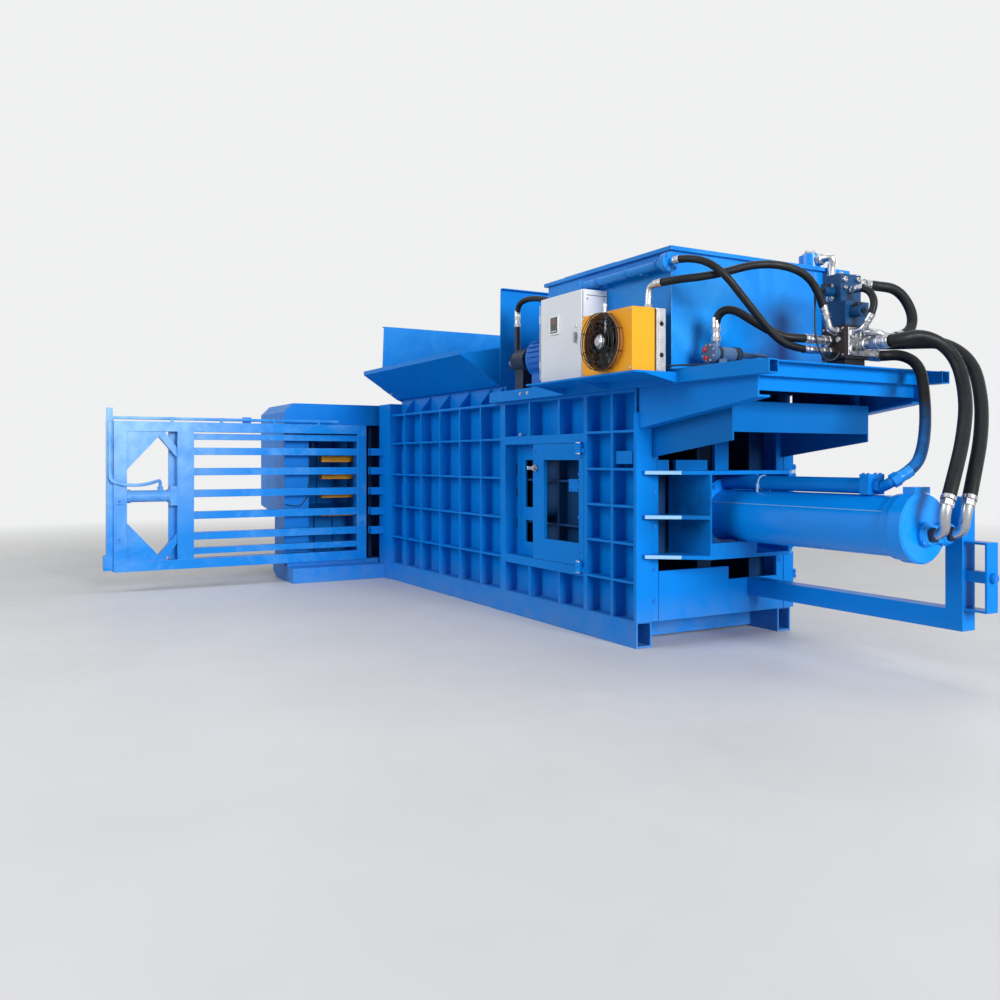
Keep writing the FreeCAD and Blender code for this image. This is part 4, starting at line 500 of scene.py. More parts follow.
HOSES = {  # radius in mm, length in metres, control points in mm
    "tank_hose": (22, 1.084, [
        (512, -803, 619), (630, -803, 619), (785, -720, 552), (845, -540, 332), (880, -360, 142),
        (910, -220, 100), (910, -130, 100)]),
    "cooler_hose": (23, 1.181, [
        (454, -888, 486), (574, -888, 486), (730, -690, 507), (860, -480, 577), (948, -270, 552),
        (962, -120, 452), (962, -60, 302)]),
    "filter_hose": (25, 0.687, [
        (595, -560, 235), (595, -560, 312), (680, -520, 347), (780, -420, 247), (860, -300, 167),
        (910, -205, 162), (910, -120, 162)]),
    "valve_loop_hose": (30, 0.669, [
        (940, 290, 512), (940, 380, 512), (1020, 500, 492), (1090, 545, 342), (1120, 480, 207),
        (1120, 345, 180)]),
    "pilot_hose": (21, 0.286, [
        (1022, 130, 457), (1090, 130, 457), (1140, 140, 382), (1140, 120, 302), (1112, 112, 257)]),
    "cap_hose_near": (36, 1.45, [
        (1150, 150, 132), (1250, 150, 132), (1340, 310, 172), (1440, 440, 52), (1550, 370, -198),
        (1650, 190, -428), (1720, 10, -628), (1730, -51, -740)]),
    "cap_hose_far": (36, 1.632, [
        (960, 330, 162), (960, 430, 162), (1090, 560, 162), (1250, 620, 152), (1410, 640, 22),
        (1540, 520, -198), (1640, 360, -418), (1715, 180, -628), (1730, 120, -744)]),
    "rod_side_hose": (32, 1.211, [
        (980, 310, 84), (980, 390, 84), (1060, 480, 92), (1160, 510, 22), (1250, 430, -158),
        (1350, 300, -358), (1430, 150, -523), (1435, 60, -593), (1398, 6, -634)]),
    "pump_hose": (22, 0.73, [
        (-1620, -600, 592), (-1620, -600, 672), (-1530, -600, 712), (-1350, -600, 702), (-1190, -600, 662),
        (-1070, -600, 650), (-974, -600, 650)]),
}
ROUTES = {name: [from_deck(*p) for p in route] for name, (_, _, route) in HOSES.items()}
FERRULE = ((0, 0.8), (0, 1.07), (0.4, 1.07), (0.5, 1.03), (1.1, 1.03), (1.2, 1.07), (1.7, 1.07),
           (1.8, 1.03), (2.3, 1.03), (2.4, 1.005))


def hose_end(name, last):
    """First or last point of a hose, by the index 0 or -1, and the way on from there out of the hose."""
    points = ROUTES[name]
    end, inner = Vector(points[last]), Vector(points[-2 if last else 1])
    return end, (end - inner).normalized()


def ferrule(bm, name, last, short):
    """Crimped sleeve over the end of a hose, at its full length or short of it."""
    end, way = hose_end(name, last)
    radius = HOSES[name][0] / 1000
    turned(bm, end, -way, [(t * radius * short, radius * r) for t, r in FERRULE], 28)


SPRAYED = rubber("hose_sprayed", sprayed=(1.25, 1.55))
for name, (radius, length, _) in HOSES.items():
    points = ROUTES[name]
    r = radius / 1000
    hose = tube_curve(name + "_line", points, r, SPRAYED if name == "rod_side_hose" else MATS["hose_rubber"])
    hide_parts(name)
SHORT = {("cap_hose_near", -1): 0.25, ("cap_hose_far", -1): 0.25}
SPRAYED_END = ("rod_side_hose", -1)
ENDS = [(name, last) for name in HOSES for last in (0, -1)]
piece("hose_ferrules", [(ferrule, *end, SHORT.get(end, 1.0)) for end in ENDS if end != SPRAYED_END],
      CHROME)
piece("rod_side_ferrule", [(ferrule, *SPRAYED_END, 1.0)], TANK_BLUE)


# ---- fittings ----
def nut(bm, at, way, radius):
    """Chamfered union nut whose length runs along the way."""
    outline = ((0, 0), (0, 1.18), (0.1, 1.26), (1.2, 1.26), (1.3, 1.18), (1.3, 0))
    turned(bm, at, way, [(t * radius, r * radius) for t, r in outline], 6)


def union(bm, port, name, last, radius):
    """Straight fitting with a nut at each end and a collar between them; port and radius in mm."""
    port, radius = Vector(from_deck(*port)), radius / 1000
    end, way = hose_end(name, last)
    length = (port - end).length
    outline = ((0, 0), (0, 1), (0.55, 1), (0.57, 1.15), (0.66, 1.15), (0.68, 1), (1, 1), (1, 0))
    turned(bm, end, way, [(length * t, radius * r) for t, r in outline])
    nut(bm, end, way, radius)
    nut(bm, port, -way, radius)


def elbow(bm, port, facing_way, name, last, radius, lead, tail):
    """Bent fitting: out of its port, then round into line with the hose; sizes in mm."""
    port, out, radius = Vector(from_deck(*port)), Vector(facing_way), radius / 1000
    end, way = hose_end(name, last)
    nut(bm, end, way, radius)
    nut(bm, port, out, radius)
    tube_curve(name + ("_end" if last else "_start") + "_elbow",
               [port, port + out * lead / 1000, end + way * tail / 1000, end], radius, CHROME)


UNIONS = (((910, 46, 162), "filter_hose", -1, 24), ((910, 46, 100), "tank_hose", -1, 20),
          ((595, -560, 155), "filter_hose", 0, 22), ((-1620, -600, 512), "pump_hose", 0, 20),
          ((-934, -600, 650), "pump_hose", -1, 20), ((960, 243, 162), "cap_hose_far", 0, 30),
          ((980, 243, 84), "rod_side_hose", 0, 28), ((940, 230, 512), "valve_loop_hose", 0, 24),
          ((1015, 150, 132), "cap_hose_near", 0, 30), ((970, 130, 457), "pilot_hose", 0, 18))
ELBOWS = (((962, 46, 212), NEAR, "cooler_hose", -1, 22, 70, 50),
          ((1015, 190, 207), REAR, "valve_loop_hose", -1, 24, 80, 60),
          ((1015, 100, 207), REAR, "pilot_hose", -1, 17, 56, 30),
          ((1596, 0, -928), REAR, "cap_hose_near", -1, 28, 80, 80),
          ((1596, 150, -928), REAR, "cap_hose_far", -1, 28, 80, 80),
          ((380, -888, 351), UP, "cooler_hose", 0, 19, 106, 44))
COOLER_TAP, RETURN_TOP = (50, -960, 351), (330, 514, 833)
NUTS = [(union, *row) for row in UNIONS] + [(elbow, *row) for row in ELBOWS]
set_of_nuts = piece("fitting_nuts", NUTS + [
    (turned, from_deck(*COOLER_TAP), UP, [
        (0, 0), (0, 0.017), (0.012, 0.017), (0.014, 0.012), (0.05, 0.012), (0.052, 0.016), (0.07, 0.016),
        (0.07, 0)], 12),
    (turned, from_deck(*RETURN_TOP), UP, [
        (0, 0), (0, 0.034), (0.008, 0.036), (0.016, 0.036), (0.024, 0.03), (0.024, 0)], 6)], CHROME)
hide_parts("hydraulic_fittings")


# ---- press body ----
WALL, RIB = 0.574, 0.681  # outer face of the side plate, and of its ribs
POST_EDGE, FEED_END, ACCESS = 0.184, 2.28, (2.4, 3.605)
RIB_LEVELS = (0.434, 0.744, 1.056, 1.364)
REAR_LEVELS = (0.414, 0.66, 0.9, 1.14, 1.386)
COLUMNS = (0.492, 0.876, 1.284, 1.681, 2.064, 3.888)
COLUMN_HALF, RIB_HALF = 0.011, 0.009  # where the beads lie beside a rib's middle
KNIFE_YS = [i * 0.12 - 0.48 for i in range(9)]


def wall_beads():
    """Weld beads where the ribs meet the side plates, and along the foot and the feed opening."""
    upright = [(x + e, 0.17, 1.635, 0.0035) for x in COLUMNS for e in (-COLUMN_HALF, COLUMN_HALF)]
    upright += [(3.6035, 0.46, 1.63, 0.003), (3.745, 0.17, 1.63, 0.003), (4.01, 0.17, 1.63, 0.003)]
    runs = [(z, POST_EDGE, ACCESS[0]) for z in RIB_LEVELS]
    runs += [(z, ACCESS[1], BODY_REAR - 0.02) for z in REAR_LEVELS]
    level = [(z + e, a, b, WALL + 0.002, 0.0035, 0.05) for z, a, b in runs for e in (-RIB_HALF, RIB_HALF)]
    level += [(0.171, POST_EDGE, BODY_REAR, out, 0.004, 0.06) for out in (WALL + 0.003, RIB)]
    level.append((1.66, POST_EDGE, FEED_END, WALL + 0.002, 0.004, 0.06))
    shapes = []
    for side in (-1, 1):
        y = side * (WALL + 0.002)
        shapes += [(bead, (x, y, low), (x, y, high), r, 0.05) for x, low, high, r in upright]
        shapes += [(bead, (a, side * out, z), (b, side * out, z), r, pitch)
                   for z, a, b, out, r, pitch in level]
    piece("wall_weld_beads", shapes, BLUE_PAINT)


def panel_folds():
    """Pressed folds, dark strips that paint the shade in its edge gaps, and small plates on the fixed access
    panel.
    """
    inside = -WALL + 0.001
    folds = [(slab, (x, -WALL - 0.003, 0.5), (x + 0.006, inside, 1.3), 0.0015)
             for x in (2.5, 2.532, 2.56)]
    folds.append((slab, (2.478, -WALL - 0.004, 1.292), (2.885, inside, 1.306), 0.002))
    folds += [(slab, (2.245, -WALL - 0.012, z), (2.345, inside, z + 0.066), 0.003) for z in (0.914, 0.575)]
    folds.append((slab, (2.7, -RIB - 0.012, 1.386), (2.76, -RIB + 0.02, 1.402), 0.003))
    piece("panel_folds", folds, BLUE_PAINT)
    # Dark strips on the wall beside the stile: painted shade of the gaps.
    gaps = [(slab, (2.476, -WALL - 0.003, low), (2.486, inside, high), 0.0012)
            for low, high in ((1.08, 1.17), (0.91, 0.97), (0.66, 0.74))]
    piece("panel_gap_shade", gaps, DARK)
    places = [(x, -WALL - 0.012, z) for z in (0.955, 0.616) for x in (2.268, 2.322)]
    bolt_group("panel_bolts", {NEAR: places + [(2.73, -RIB - 0.012, 1.394)]}, 0.009, BOLT)


def rear_edges():
    """Pale strips along the leading edges of the rear shelves, and the rear frame's bolts."""
    near, far_in = Vector((4.21, 0.659, 0)), Vector((4.464, 0.345, 0))
    run = (far_in - near) * 0.56
    out = Vector((run.y, -run.x, 0)).normalized() * -0.0016
    strips = []
    for side in (-1, 1):
        for z in (0.589, 0.84, 1.12):
            outline = near, near + run, near + run + out, near + out
            strips.append((prism, *([(p.x, p.y * side, z + h) for p in outline] for h in (-0.0112, 0.0112))))
    piece("pale_shelf_edges", strips, PALE_HIGHLIGHT)
    places = [(4.174, y, z) for y in (-0.5545, 0.5545) for z in (0.3, 0.502, 0.774, 0.993, 1.3)]
    places += [(4.18, 0.692, z) for z in (0.385, 0.415, 1.09, 1.15)]
    bolt_group("rear_frame_bolts", {REAR: places}, 0.011, BOLT_BLUE)
    bolt_group("lug_pins", {REAR: [(4.18, 0.692, z) for z in (0.372, 1.12)]}, 0.007, BOLT)


def door_hardware():
    """Pin heads on the access door's hinges, its bolts, and the nut and end of its latch."""
    pins = [(stud, (3.536, -0.708, low + off), way, 0.02, 0.006, 0.016, 0.009, 20)
            for low in (0.464, 1.283) for off, way in ((0.034, UP), (-0.035, DOWN))]
    piece("hinge_pin_heads", pins, BOLT)
    tab = [(x, -0.6755, z) for x in (3.395, 3.482) for z in (0.995, 1.048)]
    bolt_group("door_tab_bolts", {NEAR: tab}, 0.008, BOLT_BLUE, "access_door")
    leaf = [(3.512, -RIB, z) for z in (0.56, 0.8, 1.1, 1.22)]
    leaf += [(2.935, -RIB, z) for z in (0.52, 0.8, 1.26)]
    bolt_group("door_leaf_bolts", {NEAR: leaf}, 0.009, BOLT_BLUE, "access_door")
    piece("latch_nut", [(hex_bolt, (2.945, -0.711, 1.14), NEAR, 0.013),
                        (slab, (2.862, -0.7135, 1.126), (2.872, -0.694, 1.154), 0.003)], BOLT, "door_latch")


def knife_bolts():
    """Bolts of the shear knives, seen from inside the feed opening."""
    bolt_group("fixed_knife_bolts", {REAR: [(1.13, y, 1.517) for y in KNIFE_YS]}, 0.012, BOLT)
    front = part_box("ram_knife")[0][0]
    bolt_group("ram_knife_bolts", {MOUTH: [(front, y, 1.476) for y in KNIFE_YS]}, 0.012, BOLT, "ram")


wall_beads()
panel_folds()
rear_edges()
door_hardware()
knife_bolts()

# ---- main cylinder ----
CYL_Z, BARREL_R, CAP_END = 0.842, 0.166, 5.712
BARREL_TOP = CYL_Z + BARREL_R
CAP_PORTS = [(CAP_END, y, CYL_Z - 0.032) for y in (0.0, 0.15)]


def cap_details():
    """Bosses and nuts of the oil ports on the cap."""
    boss = [(0, 0), (0, 0.066), (0.022, 0.066), (0.046, 0.05), (0.046, 0.0285)]
    port_nut = [(0, 0), (0, 0.034), (0.005, 0.041), (0.027, 0.041), (0.032, 0.034), (0.032, 0)]
    piece("cap_port_bosses", [(turned, (x - 0.002, y, z), REAR, boss, 40) for x, y, z in CAP_PORTS],
          BARREL_BLUE)
    piece("cap_port_nuts", [(turned, (x + 0.04, y, z), REAR, port_nut, 6) for x, y, z in CAP_PORTS],
          PUMP_DARK, slot="fitting_chrome")


def barrel_details():
    """Flange bolts and weld beads of the barrel, its seam painted pale as a highlight line, and what holds
    its pipe, painted pale as a glint.
    """
    bolt_group("barrel_flange_bolts", {REAR: around((4.23, 0, CYL_Z), 0.205, 12, 0)}, 0.013, BOLT_BLUE)
    rings = [[(x - 0.005, r - 0.001), (x - 0.002, r + 0.005), (x + 0.003, r + 0.005), (x + 0.005, r - 0.001)]
             for x, r in ((4.232, BARREL_R), (5.567, BARREL_R), (5.611, BARREL_R + 0.003))]
    piece("cylinder_weld_beads", [(turned, (0, 0, CYL_Z), REAR, ring, 72) for ring in rings], BARREL_BLUE)
    # The seam is a weld bead painted pale as a highlight line.
    seam, out = math.radians(31), BARREL_R + 0.0005
    y, z = -math.cos(seam) * out, CYL_Z + math.sin(seam) * out
    piece("barrel_seam", [(bead, (4.24, y, z), (5.56, y, z), 0.0024, 0.03)], PALE_HIGHLIGHT)
    # The pipe clamp is painted pale as a glint.
    clamp = [(band, (4.56, 0, BARREL_TOP + 0.048), REAR, 0.045, 0.0495, 0.012, 32)]
    clamp += [(slab, (4.56, y - 0.006, BARREL_TOP - 0.012), (4.572, y + 0.006, BARREL_TOP + 0.046), 0.002)
              for y in (-0.052, 0.052)]
    piece("pipe_clamp", clamp, PALE_HIGHLIGHT)
    block = [(x, y, BARREL_TOP + 0.114) for x in (5.366, 5.398) for y in (-0.05, 0.05)]
    bolt_group("pipe_block_bolts", {UP: block}, 0.008, BOLT_BLUE)


def gland_bolts():
    """Bolts of the rod gland, inside the ram."""
    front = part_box("cylinder_gland")[0][0]
    bolt_group("gland_bolts", {MOUTH: around((front, 0, CYL_Z), 0.16, 10, 0)}, 0.012, BOLT)


def arm_details():
    """Weld beads of the arm and the clamp screw of its slotted bracket."""
    low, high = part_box("support_arm")
    beads = [(bead, (5.66, low[1], 0.398), (5.66, high[1], 0.398), 0.004)]
    beads += [(bead, (5.762, 0.256, z), (5.762, 0.345, z), 0.004) for z in (0.397, 0.767)]
    piece("arm_weld_beads", beads, BLUE_PAINT)
    screw = (turned, (5.914, 0.297, 0.582), REAR, [(0, 0), (0, 0.019), (0.0035, 0.021), (0.0045, 0)], 6)
    piece("bracket_screw", [screw], BOLT_BLUE)


cap_details()
barrel_details()
gland_bolts()
arm_details()

# ---- cooler ----
FAN_X, FAN_Z = 4.3205, 1.905
SPOKE = ((0.048, -1.106), (0.16, -1.113), (0.169, -1.11), (0.1735, -1.09), (0.1745, -1.044))


def fan_basket():
    """Wire basket over the drum, with spokes that bend back to it, and the cap of its hub."""
    rings = [(r, -1.11) for r in (0.062, 0.092, 0.122, 0.148, 0.168)] + [(0.172, -1.092), (0.1745, -1.066)]
    wires = [(hoop, (FAN_X, y, FAN_Z), FAR, r, 0.0022) for r, y in rings]
    bends = [around((FAN_X, y, FAN_Z), r, 8, 1, 0.5) for r, y in SPOKE]
    wires += [(round_wire, spoke, 0.0026) for spoke in zip(*bends)]
    piece("fan_basket_wires", wires, MATS["fan_black"], smooth=True)
    cap = [(turned, (FAN_X, -1.087, FAN_Z), NEAR, [
        (-0.004, 0.046), (0.0, 0.046), (0.006, 0.042), (0.012, 0.03), (0.019, 0.028), (0.021, 0.018),
        (0.021, 0)], 36)]
    cap += [(hex_bolt, at, NEAR, 0.005) for at in around((FAN_X, -1.09, FAN_Z), 0.036, 4, 1, 0.5)]
    piece("fan_hub_cap", cap, GREY_CAST, slot="fan_black")


def drum_sleeve():
    """Lip of the drum, inside and out, in a brown that is painted shade on the cooler's yellow behind the
    basket.
    """
    lip = [(0, 0.1638), (0, 0.1702), (0.0345, 0.1702), (0.0345, 0.1695), (0.0006, 0.1695),
           (0.0006, 0.1645), (0.0345, 0.1645), (0.0345, 0.1638), (0, 0.1638)]
    piece("drum_lip", [(turned, (FAN_X, -1.0765, FAN_Z), FAR, lip, 72)], DRUM_SHADE_BROWN, slot="cooler_paint")


def cooler_trim():
    """Corner bolts, end strip with its bolts, and the fin block in front of the core."""
    corners = [(x, -1.041, z) for x in (4.084, 4.557) for z in (1.733, 2.073)]
    bolt_group("cooler_screws", {NEAR: corners}, 0.006, BOLT)
    strip = [(slab, (4.579, -0.852, 1.725), (4.5835, -0.812, 2.081), 0.001)]
    strip += [(slab, (4.5835, -0.846, 1.74 + i * 0.0185), (4.5848, -0.818, 1.746 + i * 0.0185), 0.0005)
              for i in range(18)]
    piece("cooler_end_strip", strip, MATS["cooler_aluminium"])
    bolt_group("cooler_strip_bolts", {REAR: [(4.584, -0.832, z) for z in (1.815, 1.998)]}, 0.01, DARK)
    fins = [(slab, (4.1 + i * 0.0102, -0.874, 1.745), (4.1022 + i * 0.0102, -0.868, 2.065))
            for i in range(44)]
    piece("cooler_fins", fins, MATS["fan_black"], slot="cooler_aluminium")


fan_basket()
drum_sleeve()
cooler_trim()


# ---- cabinet ----
def cabinet_trim():
    """Screen with its frame on the door, key lock, seams and screws of the cabinet."""
    bars = [(slab, (x0, -0.9575, z0), (x1, -0.9525, z1), 0.0012) for x0, z0, x1, z1 in
            ((3.558, 2.155, 3.666, 2.167), (3.558, 2.039, 3.666, 2.049),
             (3.558, 2.049, 3.568, 2.155), (3.656, 2.049, 3.666, 2.155))]
    piece("screen_frame", bars, WHITE, "cabinet_door", "cabinet_grey")
    glass = (slab, (3.568, -0.955, 2.049), (3.656, -0.952, 2.155), 0.0006)
    piece("screen_glass", [glass], SCREEN, "cabinet_door")
    lens = (slab, (3.578, -0.9562, 2.108), (3.646, -0.9545, 2.147), 0.0006)
    piece("screen_upper_lens", [lens], UPPER_LENS, "cabinet_door")
    keys = [(slab, (x, -0.9565, 2.058), (x + 0.014, -0.9545, 2.066), 0.0006) for x in (3.582, 3.602, 3.622)]
    piece("screen_keys", keys, WHITE, "cabinet_door")
    lock = (stud, (3.863, -0.9445, 2.066), NEAR, 0.011, 0.004, 0.008, 0.005, 24)
    piece("cabinet_lock", [lock], BOLT, "cabinet_door", "plain_steel")
    piece("cabinet_seams", [
        (slab, (3.9222, -0.938, 1.728), (3.9236, -0.934, 2.29), 0.0003),
        (slab, (3.9222, -0.905, 2.262), (3.9242, -0.746, 2.266), 0.0005)], DARK, slot="cabinet_grey")
    side = [(3.923, y, z) for y in (-0.9, -0.77) for z in (1.77, 2.24)]
    bolt_group("cabinet_side_screws", {REAR: side}, 0.005, BOLT)


cabinet_trim()

# ---- motor and pump ----
MOTOR_Y, MOTOR_Z = -0.52, 1.973
RIB_START, RIB_END = 2.815, 3.12


def motor_ribs():
    """Cooling ribs round the motor, but for the place of its terminal box."""
    ribs = []
    for i in range(26):
        a = 2 * math.pi * i / 26
        if 0.35 * math.pi < a < 0.65 * math.pi:
            continue
        way = Vector((0, math.cos(a), math.sin(a)))
        half = Vector((0, -math.sin(a), math.cos(a))) * 0.0022
        outline = [way * r + half * s for r, s in ((0.16, -1), (0.16, 1), (0.179, 1), (0.179, -1))]
        ribs.append((prism, *(
            [corner + Vector((x, MOTOR_Y, MOTOR_Z)) for corner in outline] for x in (RIB_START, RIB_END))))
    piece("motor_ribs", ribs, MOTOR_BLUE)


def motor_trim():
    """Fan cowl with its grille, terminal box and end bolts of the motor, and the pump's plug."""
    y, z = MOTOR_Y, MOTOR_Z
    cowl = [(0, 0.165), (0, 0.178), (0.064, 0.178), (0.076, 0.166), (0.076, 0.1), (0.071, 0.1)]
    piece("motor_cowl", [(turned, (3.125, y, z), REAR, cowl, 64)], MOTOR_BLUE)
    grille = [(hoop, (3.199, y, z), REAR, r, 0.003, 40) for r in (0.03, 0.05, 0.07, 0.09)]
    tips = around((3.199, y, z), 0.1, 8, 0)
    grille += [(round_wire, (tips[i + 4], tips[i]), 0.0028) for i in range(4)]
    piece("motor_grille", grille, PUMP_DARK)
    box = [(slab, (2.9, y - 0.055, z + 0.15), (3.04, y + 0.055, z + 0.212), 0.006),
           (slab, (2.895, y - 0.06, z + 0.196), (3.045, y + 0.06, z + 0.204), 0.002)]
    piece("motor_terminal_box", box, MOTOR_BLUE)
    bell = around((2.7305, y, z), 0.106, 8, 0, 0.5)
    bolt_group("pump_flange_bolts", {MOUTH: bell}, 0.009, BOLT)
    plug = [(0, 0), (0, 0.022), (0.008, 0.022), (0.008, 0.016), (0.022, 0.016), (0.022, 0)]
    piece("pump_plug", [(turned, (2.53, -0.65, 1.96), NEAR, plug, 6)], CHROME)


motor_ribs()
motor_trim()

# ---- valves ----
VALVE_REAR, STACK_REAR = 5.176, 5.12  # rear faces of the port plate and of the upper valve
PORT_Y, PORT_ZS = 0.096, (1.842, 1.934)


def port_plate():
    """Port plate with its sockets and clamp bar, and the bare cast side of the valve block."""
    collar = [(0, 0), (0, 0.033), (0.007, 0.033), (0.009, 0.028), (0.009, 0.013), (0.002, 0.013), (0.002, 0)]
    socket = [(0, 0), (0, 0.0128), (0.0016, 0.0128), (0.0016, 0)]
    plate = [(slab, (5.1648, 0.06, 1.806), (VALVE_REAR, 0.232, 1.97), 0.003),
             (slab, (5.175, 0.139, 1.812), (5.19, 0.156, 1.964), 0.003)]
    plate += [(turned, (5.175, PORT_Y, z), REAR, collar, 32) for z in PORT_ZS]
    piece("valve_port_plate", plate, GREY_CAST, slot="manifold_dark")
    piece("valve_port_sockets", [(turned, (5.1768, PORT_Y, z), REAR, socket, 6) for z in PORT_ZS], DARK)
    face = (slab, (4.994, 0.0445, 1.793), (5.161, 0.0475, 1.982), 0.001)
    piece("valve_side_cast", [face], SIDE_CAST, slot="manifold_dark")


def valve_trim():
    """Bolts of the valve block and its stack, plugs, and the nuts and plugs of the coils."""
    bolt_group("valve_bolts", {
        NEAR: [(x, 0.06, z) for x in (5.026, 5.05) for z in (2.153, 2.219)],
        UP: [(x, y, 2.29) for x in (5.028, 5.102) for y in (0.08, 0.21)]}, 0.0125, BOLT)
    bolt_group("valve_block_bolts", {
        NEAR: [(x, 0.046, z) for x in (5.008, 5.146) for z in (1.81, 1.966)],
        REAR: [(VALVE_REAR, y, z) for y in (0.206, 0.222) for z in (1.822, 1.952)]}, 0.008, BOLT)
    plugs = [(turned, (STACK_REAR, y, z), REAR, [
        (0, 0), (0, r), (0.014, r), (0.018, r * 0.8), (0.018, r * 0.45), (0.012, r * 0.45), (0.012, 0)], 18)
        for y, z, r in ((0.085, 2.255, 0.017), (0.195, 2.262, 0.015),
                        (0.086, 2.208, 0.012), (0.176, 2.216, 0.013))]
    plugs += [(stud, at, NEAR, 0.018, 0.012, 0.014, 0.015)
              for at in ((5.03, 0.046, 1.862), (5.12, 0.046, 1.9))]
    piece("valve_plugs", plugs, CHROME)
    coil_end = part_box("valve_stack")[1][0] - 0.002
    nuts = [(stud, (5.05, -0.014, 2.19), NEAR, 0.015, 0.012, 0.012, 0.014),
            (stud, (coil_end, 0.106, 2.06), REAR, 0.015, 0.013, 0.012, 0.015)]
    piece("coil_nuts", nuts, DARK, slot="fitting_chrome")
    caps = [(slab, (5.03, -0.01, 2.214), (5.07, 0.04, 2.232), 0.004),
            (slab, (5.18, 0.086, 2.088), (5.22, 0.126, 2.106), 0.004)]
    piece("coil_plugs", caps, DARK, slot="manifold_dark")


def return_pipe():
    """Elbow on the return filter, with its pipe down the back of the tank."""
    x, y, z = 4.48, 0.514, 2.52
    piece("return_nuts", [
        (nut, (x + 0.07, y, z), REAR, 0.03),
        (stud, (4.612, 0.56, 2.33), DOWN, 0.036, 0.02, 0.03, 0.022)], CHROME)
    tube_curve("return_elbow", [
        (x + 0.07, y, z), (4.606, y + 0.012, z + 0.012), (4.64, 0.552, 2.52), (4.612, 0.56, 2.44),
        (4.612, 0.56, 2.33)], 0.027, CHROME)
    drop = [(4.612, 0.56, z) for z in (2.31, 2.18, 2.05)] + [(4.56, 0.56, 2.02)]
    tube_curve("return_drop", drop, 0.024, TANK_BLUE)
    bolt_group("return_cup_bolts", {UP: around((x, y, 2.557), 0.055, 6, 2, 0.5)}, 0.008, BOLT)


port_plate()
valve_trim()
return_pipe()

# ---- tank and filter ----
TANK_START, TANK_END, TANK_SIDE, TANK_TOP = 3.216, 4.566, 0.743, 2.441
PIPE_Y, PIPE_Z = -0.803, 2.357
FILTER_X, FILTER_Z = 4.745, 1.823


def tank_trim():
    """Lid bolts, weld beads, and the side pipe's flange bolts and straps."""
    x0, x1, y1, top = TANK_START, TANK_END, TANK_SIDE, TANK_TOP + 0.024
    first, last = x0 + 0.03, x1 - 0.03
    lid = [(first + (last - first) * i / 8, y, top) for y in (0.02 - y1, y1 - 0.02) for i in range(9)]
    lid += [(x, 0.188 * i - 0.5, top) for x in (first, last) for i in range(6)]
    bolt_group("lid_bolts", {UP: lid}, 0.01, BOLT_BLUE)
    beads = [(bead, (x, y, 1.745), (x, y, TANK_TOP), 0.004, 0.05)
             for y in (0.001 - y1, y1 - 0.001) for x in (x0 + 0.001, x1 - 0.001)]
    beads.append((bead, (x1 + 0.001, -y1, 1.742), (x1 + 0.001, y1, 1.742), 0.006, 0.04))
    beads.append((bead, (x0, -y1 - 0.001, 1.742), (x1, -y1 - 0.001, 1.742), 0.006, 0.04))
    piece("tank_weld_beads", beads, TANK_BLUE)
    flange = {way: around((x, PIPE_Y, PIPE_Z), 0.046, 4, 0, 0.5)
              for x, way in ((4.588, MOUTH), (4.632, REAR))}
    bolt_group("pipe_flange_bolts", flange, 0.008, BOLT_BLUE)
    straps = []
    for x in (3.9, 4.21, 4.5):
        straps.append((band, (x, PIPE_Y, PIPE_Z), REAR, 0.0275, 0.0315, 0.024, 32))
        straps.append((slab, (x, -0.8, 2.38), (x + 0.024, -0.742, 2.3885), 0.001))
    piece("pipe_straps", straps, BOLT_BLUE)


def filter_trim():
    """Red plugs, disc bolts and clamp bands of the in-line filter."""
    plugs = [(stud, (x, -0.6195, z), NEAR, 0.0145, 0.01, 0.01, 0.0155, 20)
             for x, z in ((4.721, 1.845), (4.731, 1.793))]
    piece("filter_plugs", plugs, RED)
    disc = around((FILTER_X, -0.621, FILTER_Z), 0.048, 8, 1, 0.5)
    bolt_group("filter_disc_bolts", {NEAR: disc}, 0.0055, BOLT, slot="filter_grey")
    cone = [(0, 0.04), (0, 0.046), (0.012, 0.046), (0.012, 0.03), (0.026, 0.022), (0.026, 0.018)]
    bands = [(band, (FILTER_X, y, FILTER_Z), FAR, 0.041, 0.045, 0.022, 40) for y in (-0.56, -0.43)]
    bands.append((turned, (FILTER_X, -0.399, FILTER_Z), FAR, cone, 40))
    piece("filter_bands", bands, PUMP_DARK)


tank_trim()
filter_trim()

# ---- hopper and deck ----
UNDER_FLAP = (0, -0.545, -0.839)
bolt_group("hopper_bolt", {UNDER_FLAP: [(0.215, -0.7005, 1.8584)]}, 0.012, BOLT)
bolt_group("deck_edge_bolts", {NEAR: [(2.816, -0.743, 1.7), (2.92, -0.743, 1.7)]}, 0.01, BOLT)

# ---- gate and portal ----
GATE_FACE, BAR_ZS = -0.12, (0.566, 0.73, 0.893, 1.057, 1.22, 1.384)
LUG_ZS = (0.452, 0.8)
PORTAL_FRONT, PORTAL_END, PORTAL_Y = -1.118, -0.276, -0.6
COLUMN_BACK = ((-1.118, 1.566), (-1.118, 0.722), (-0.598, 0.646), (-0.598, 0.15))


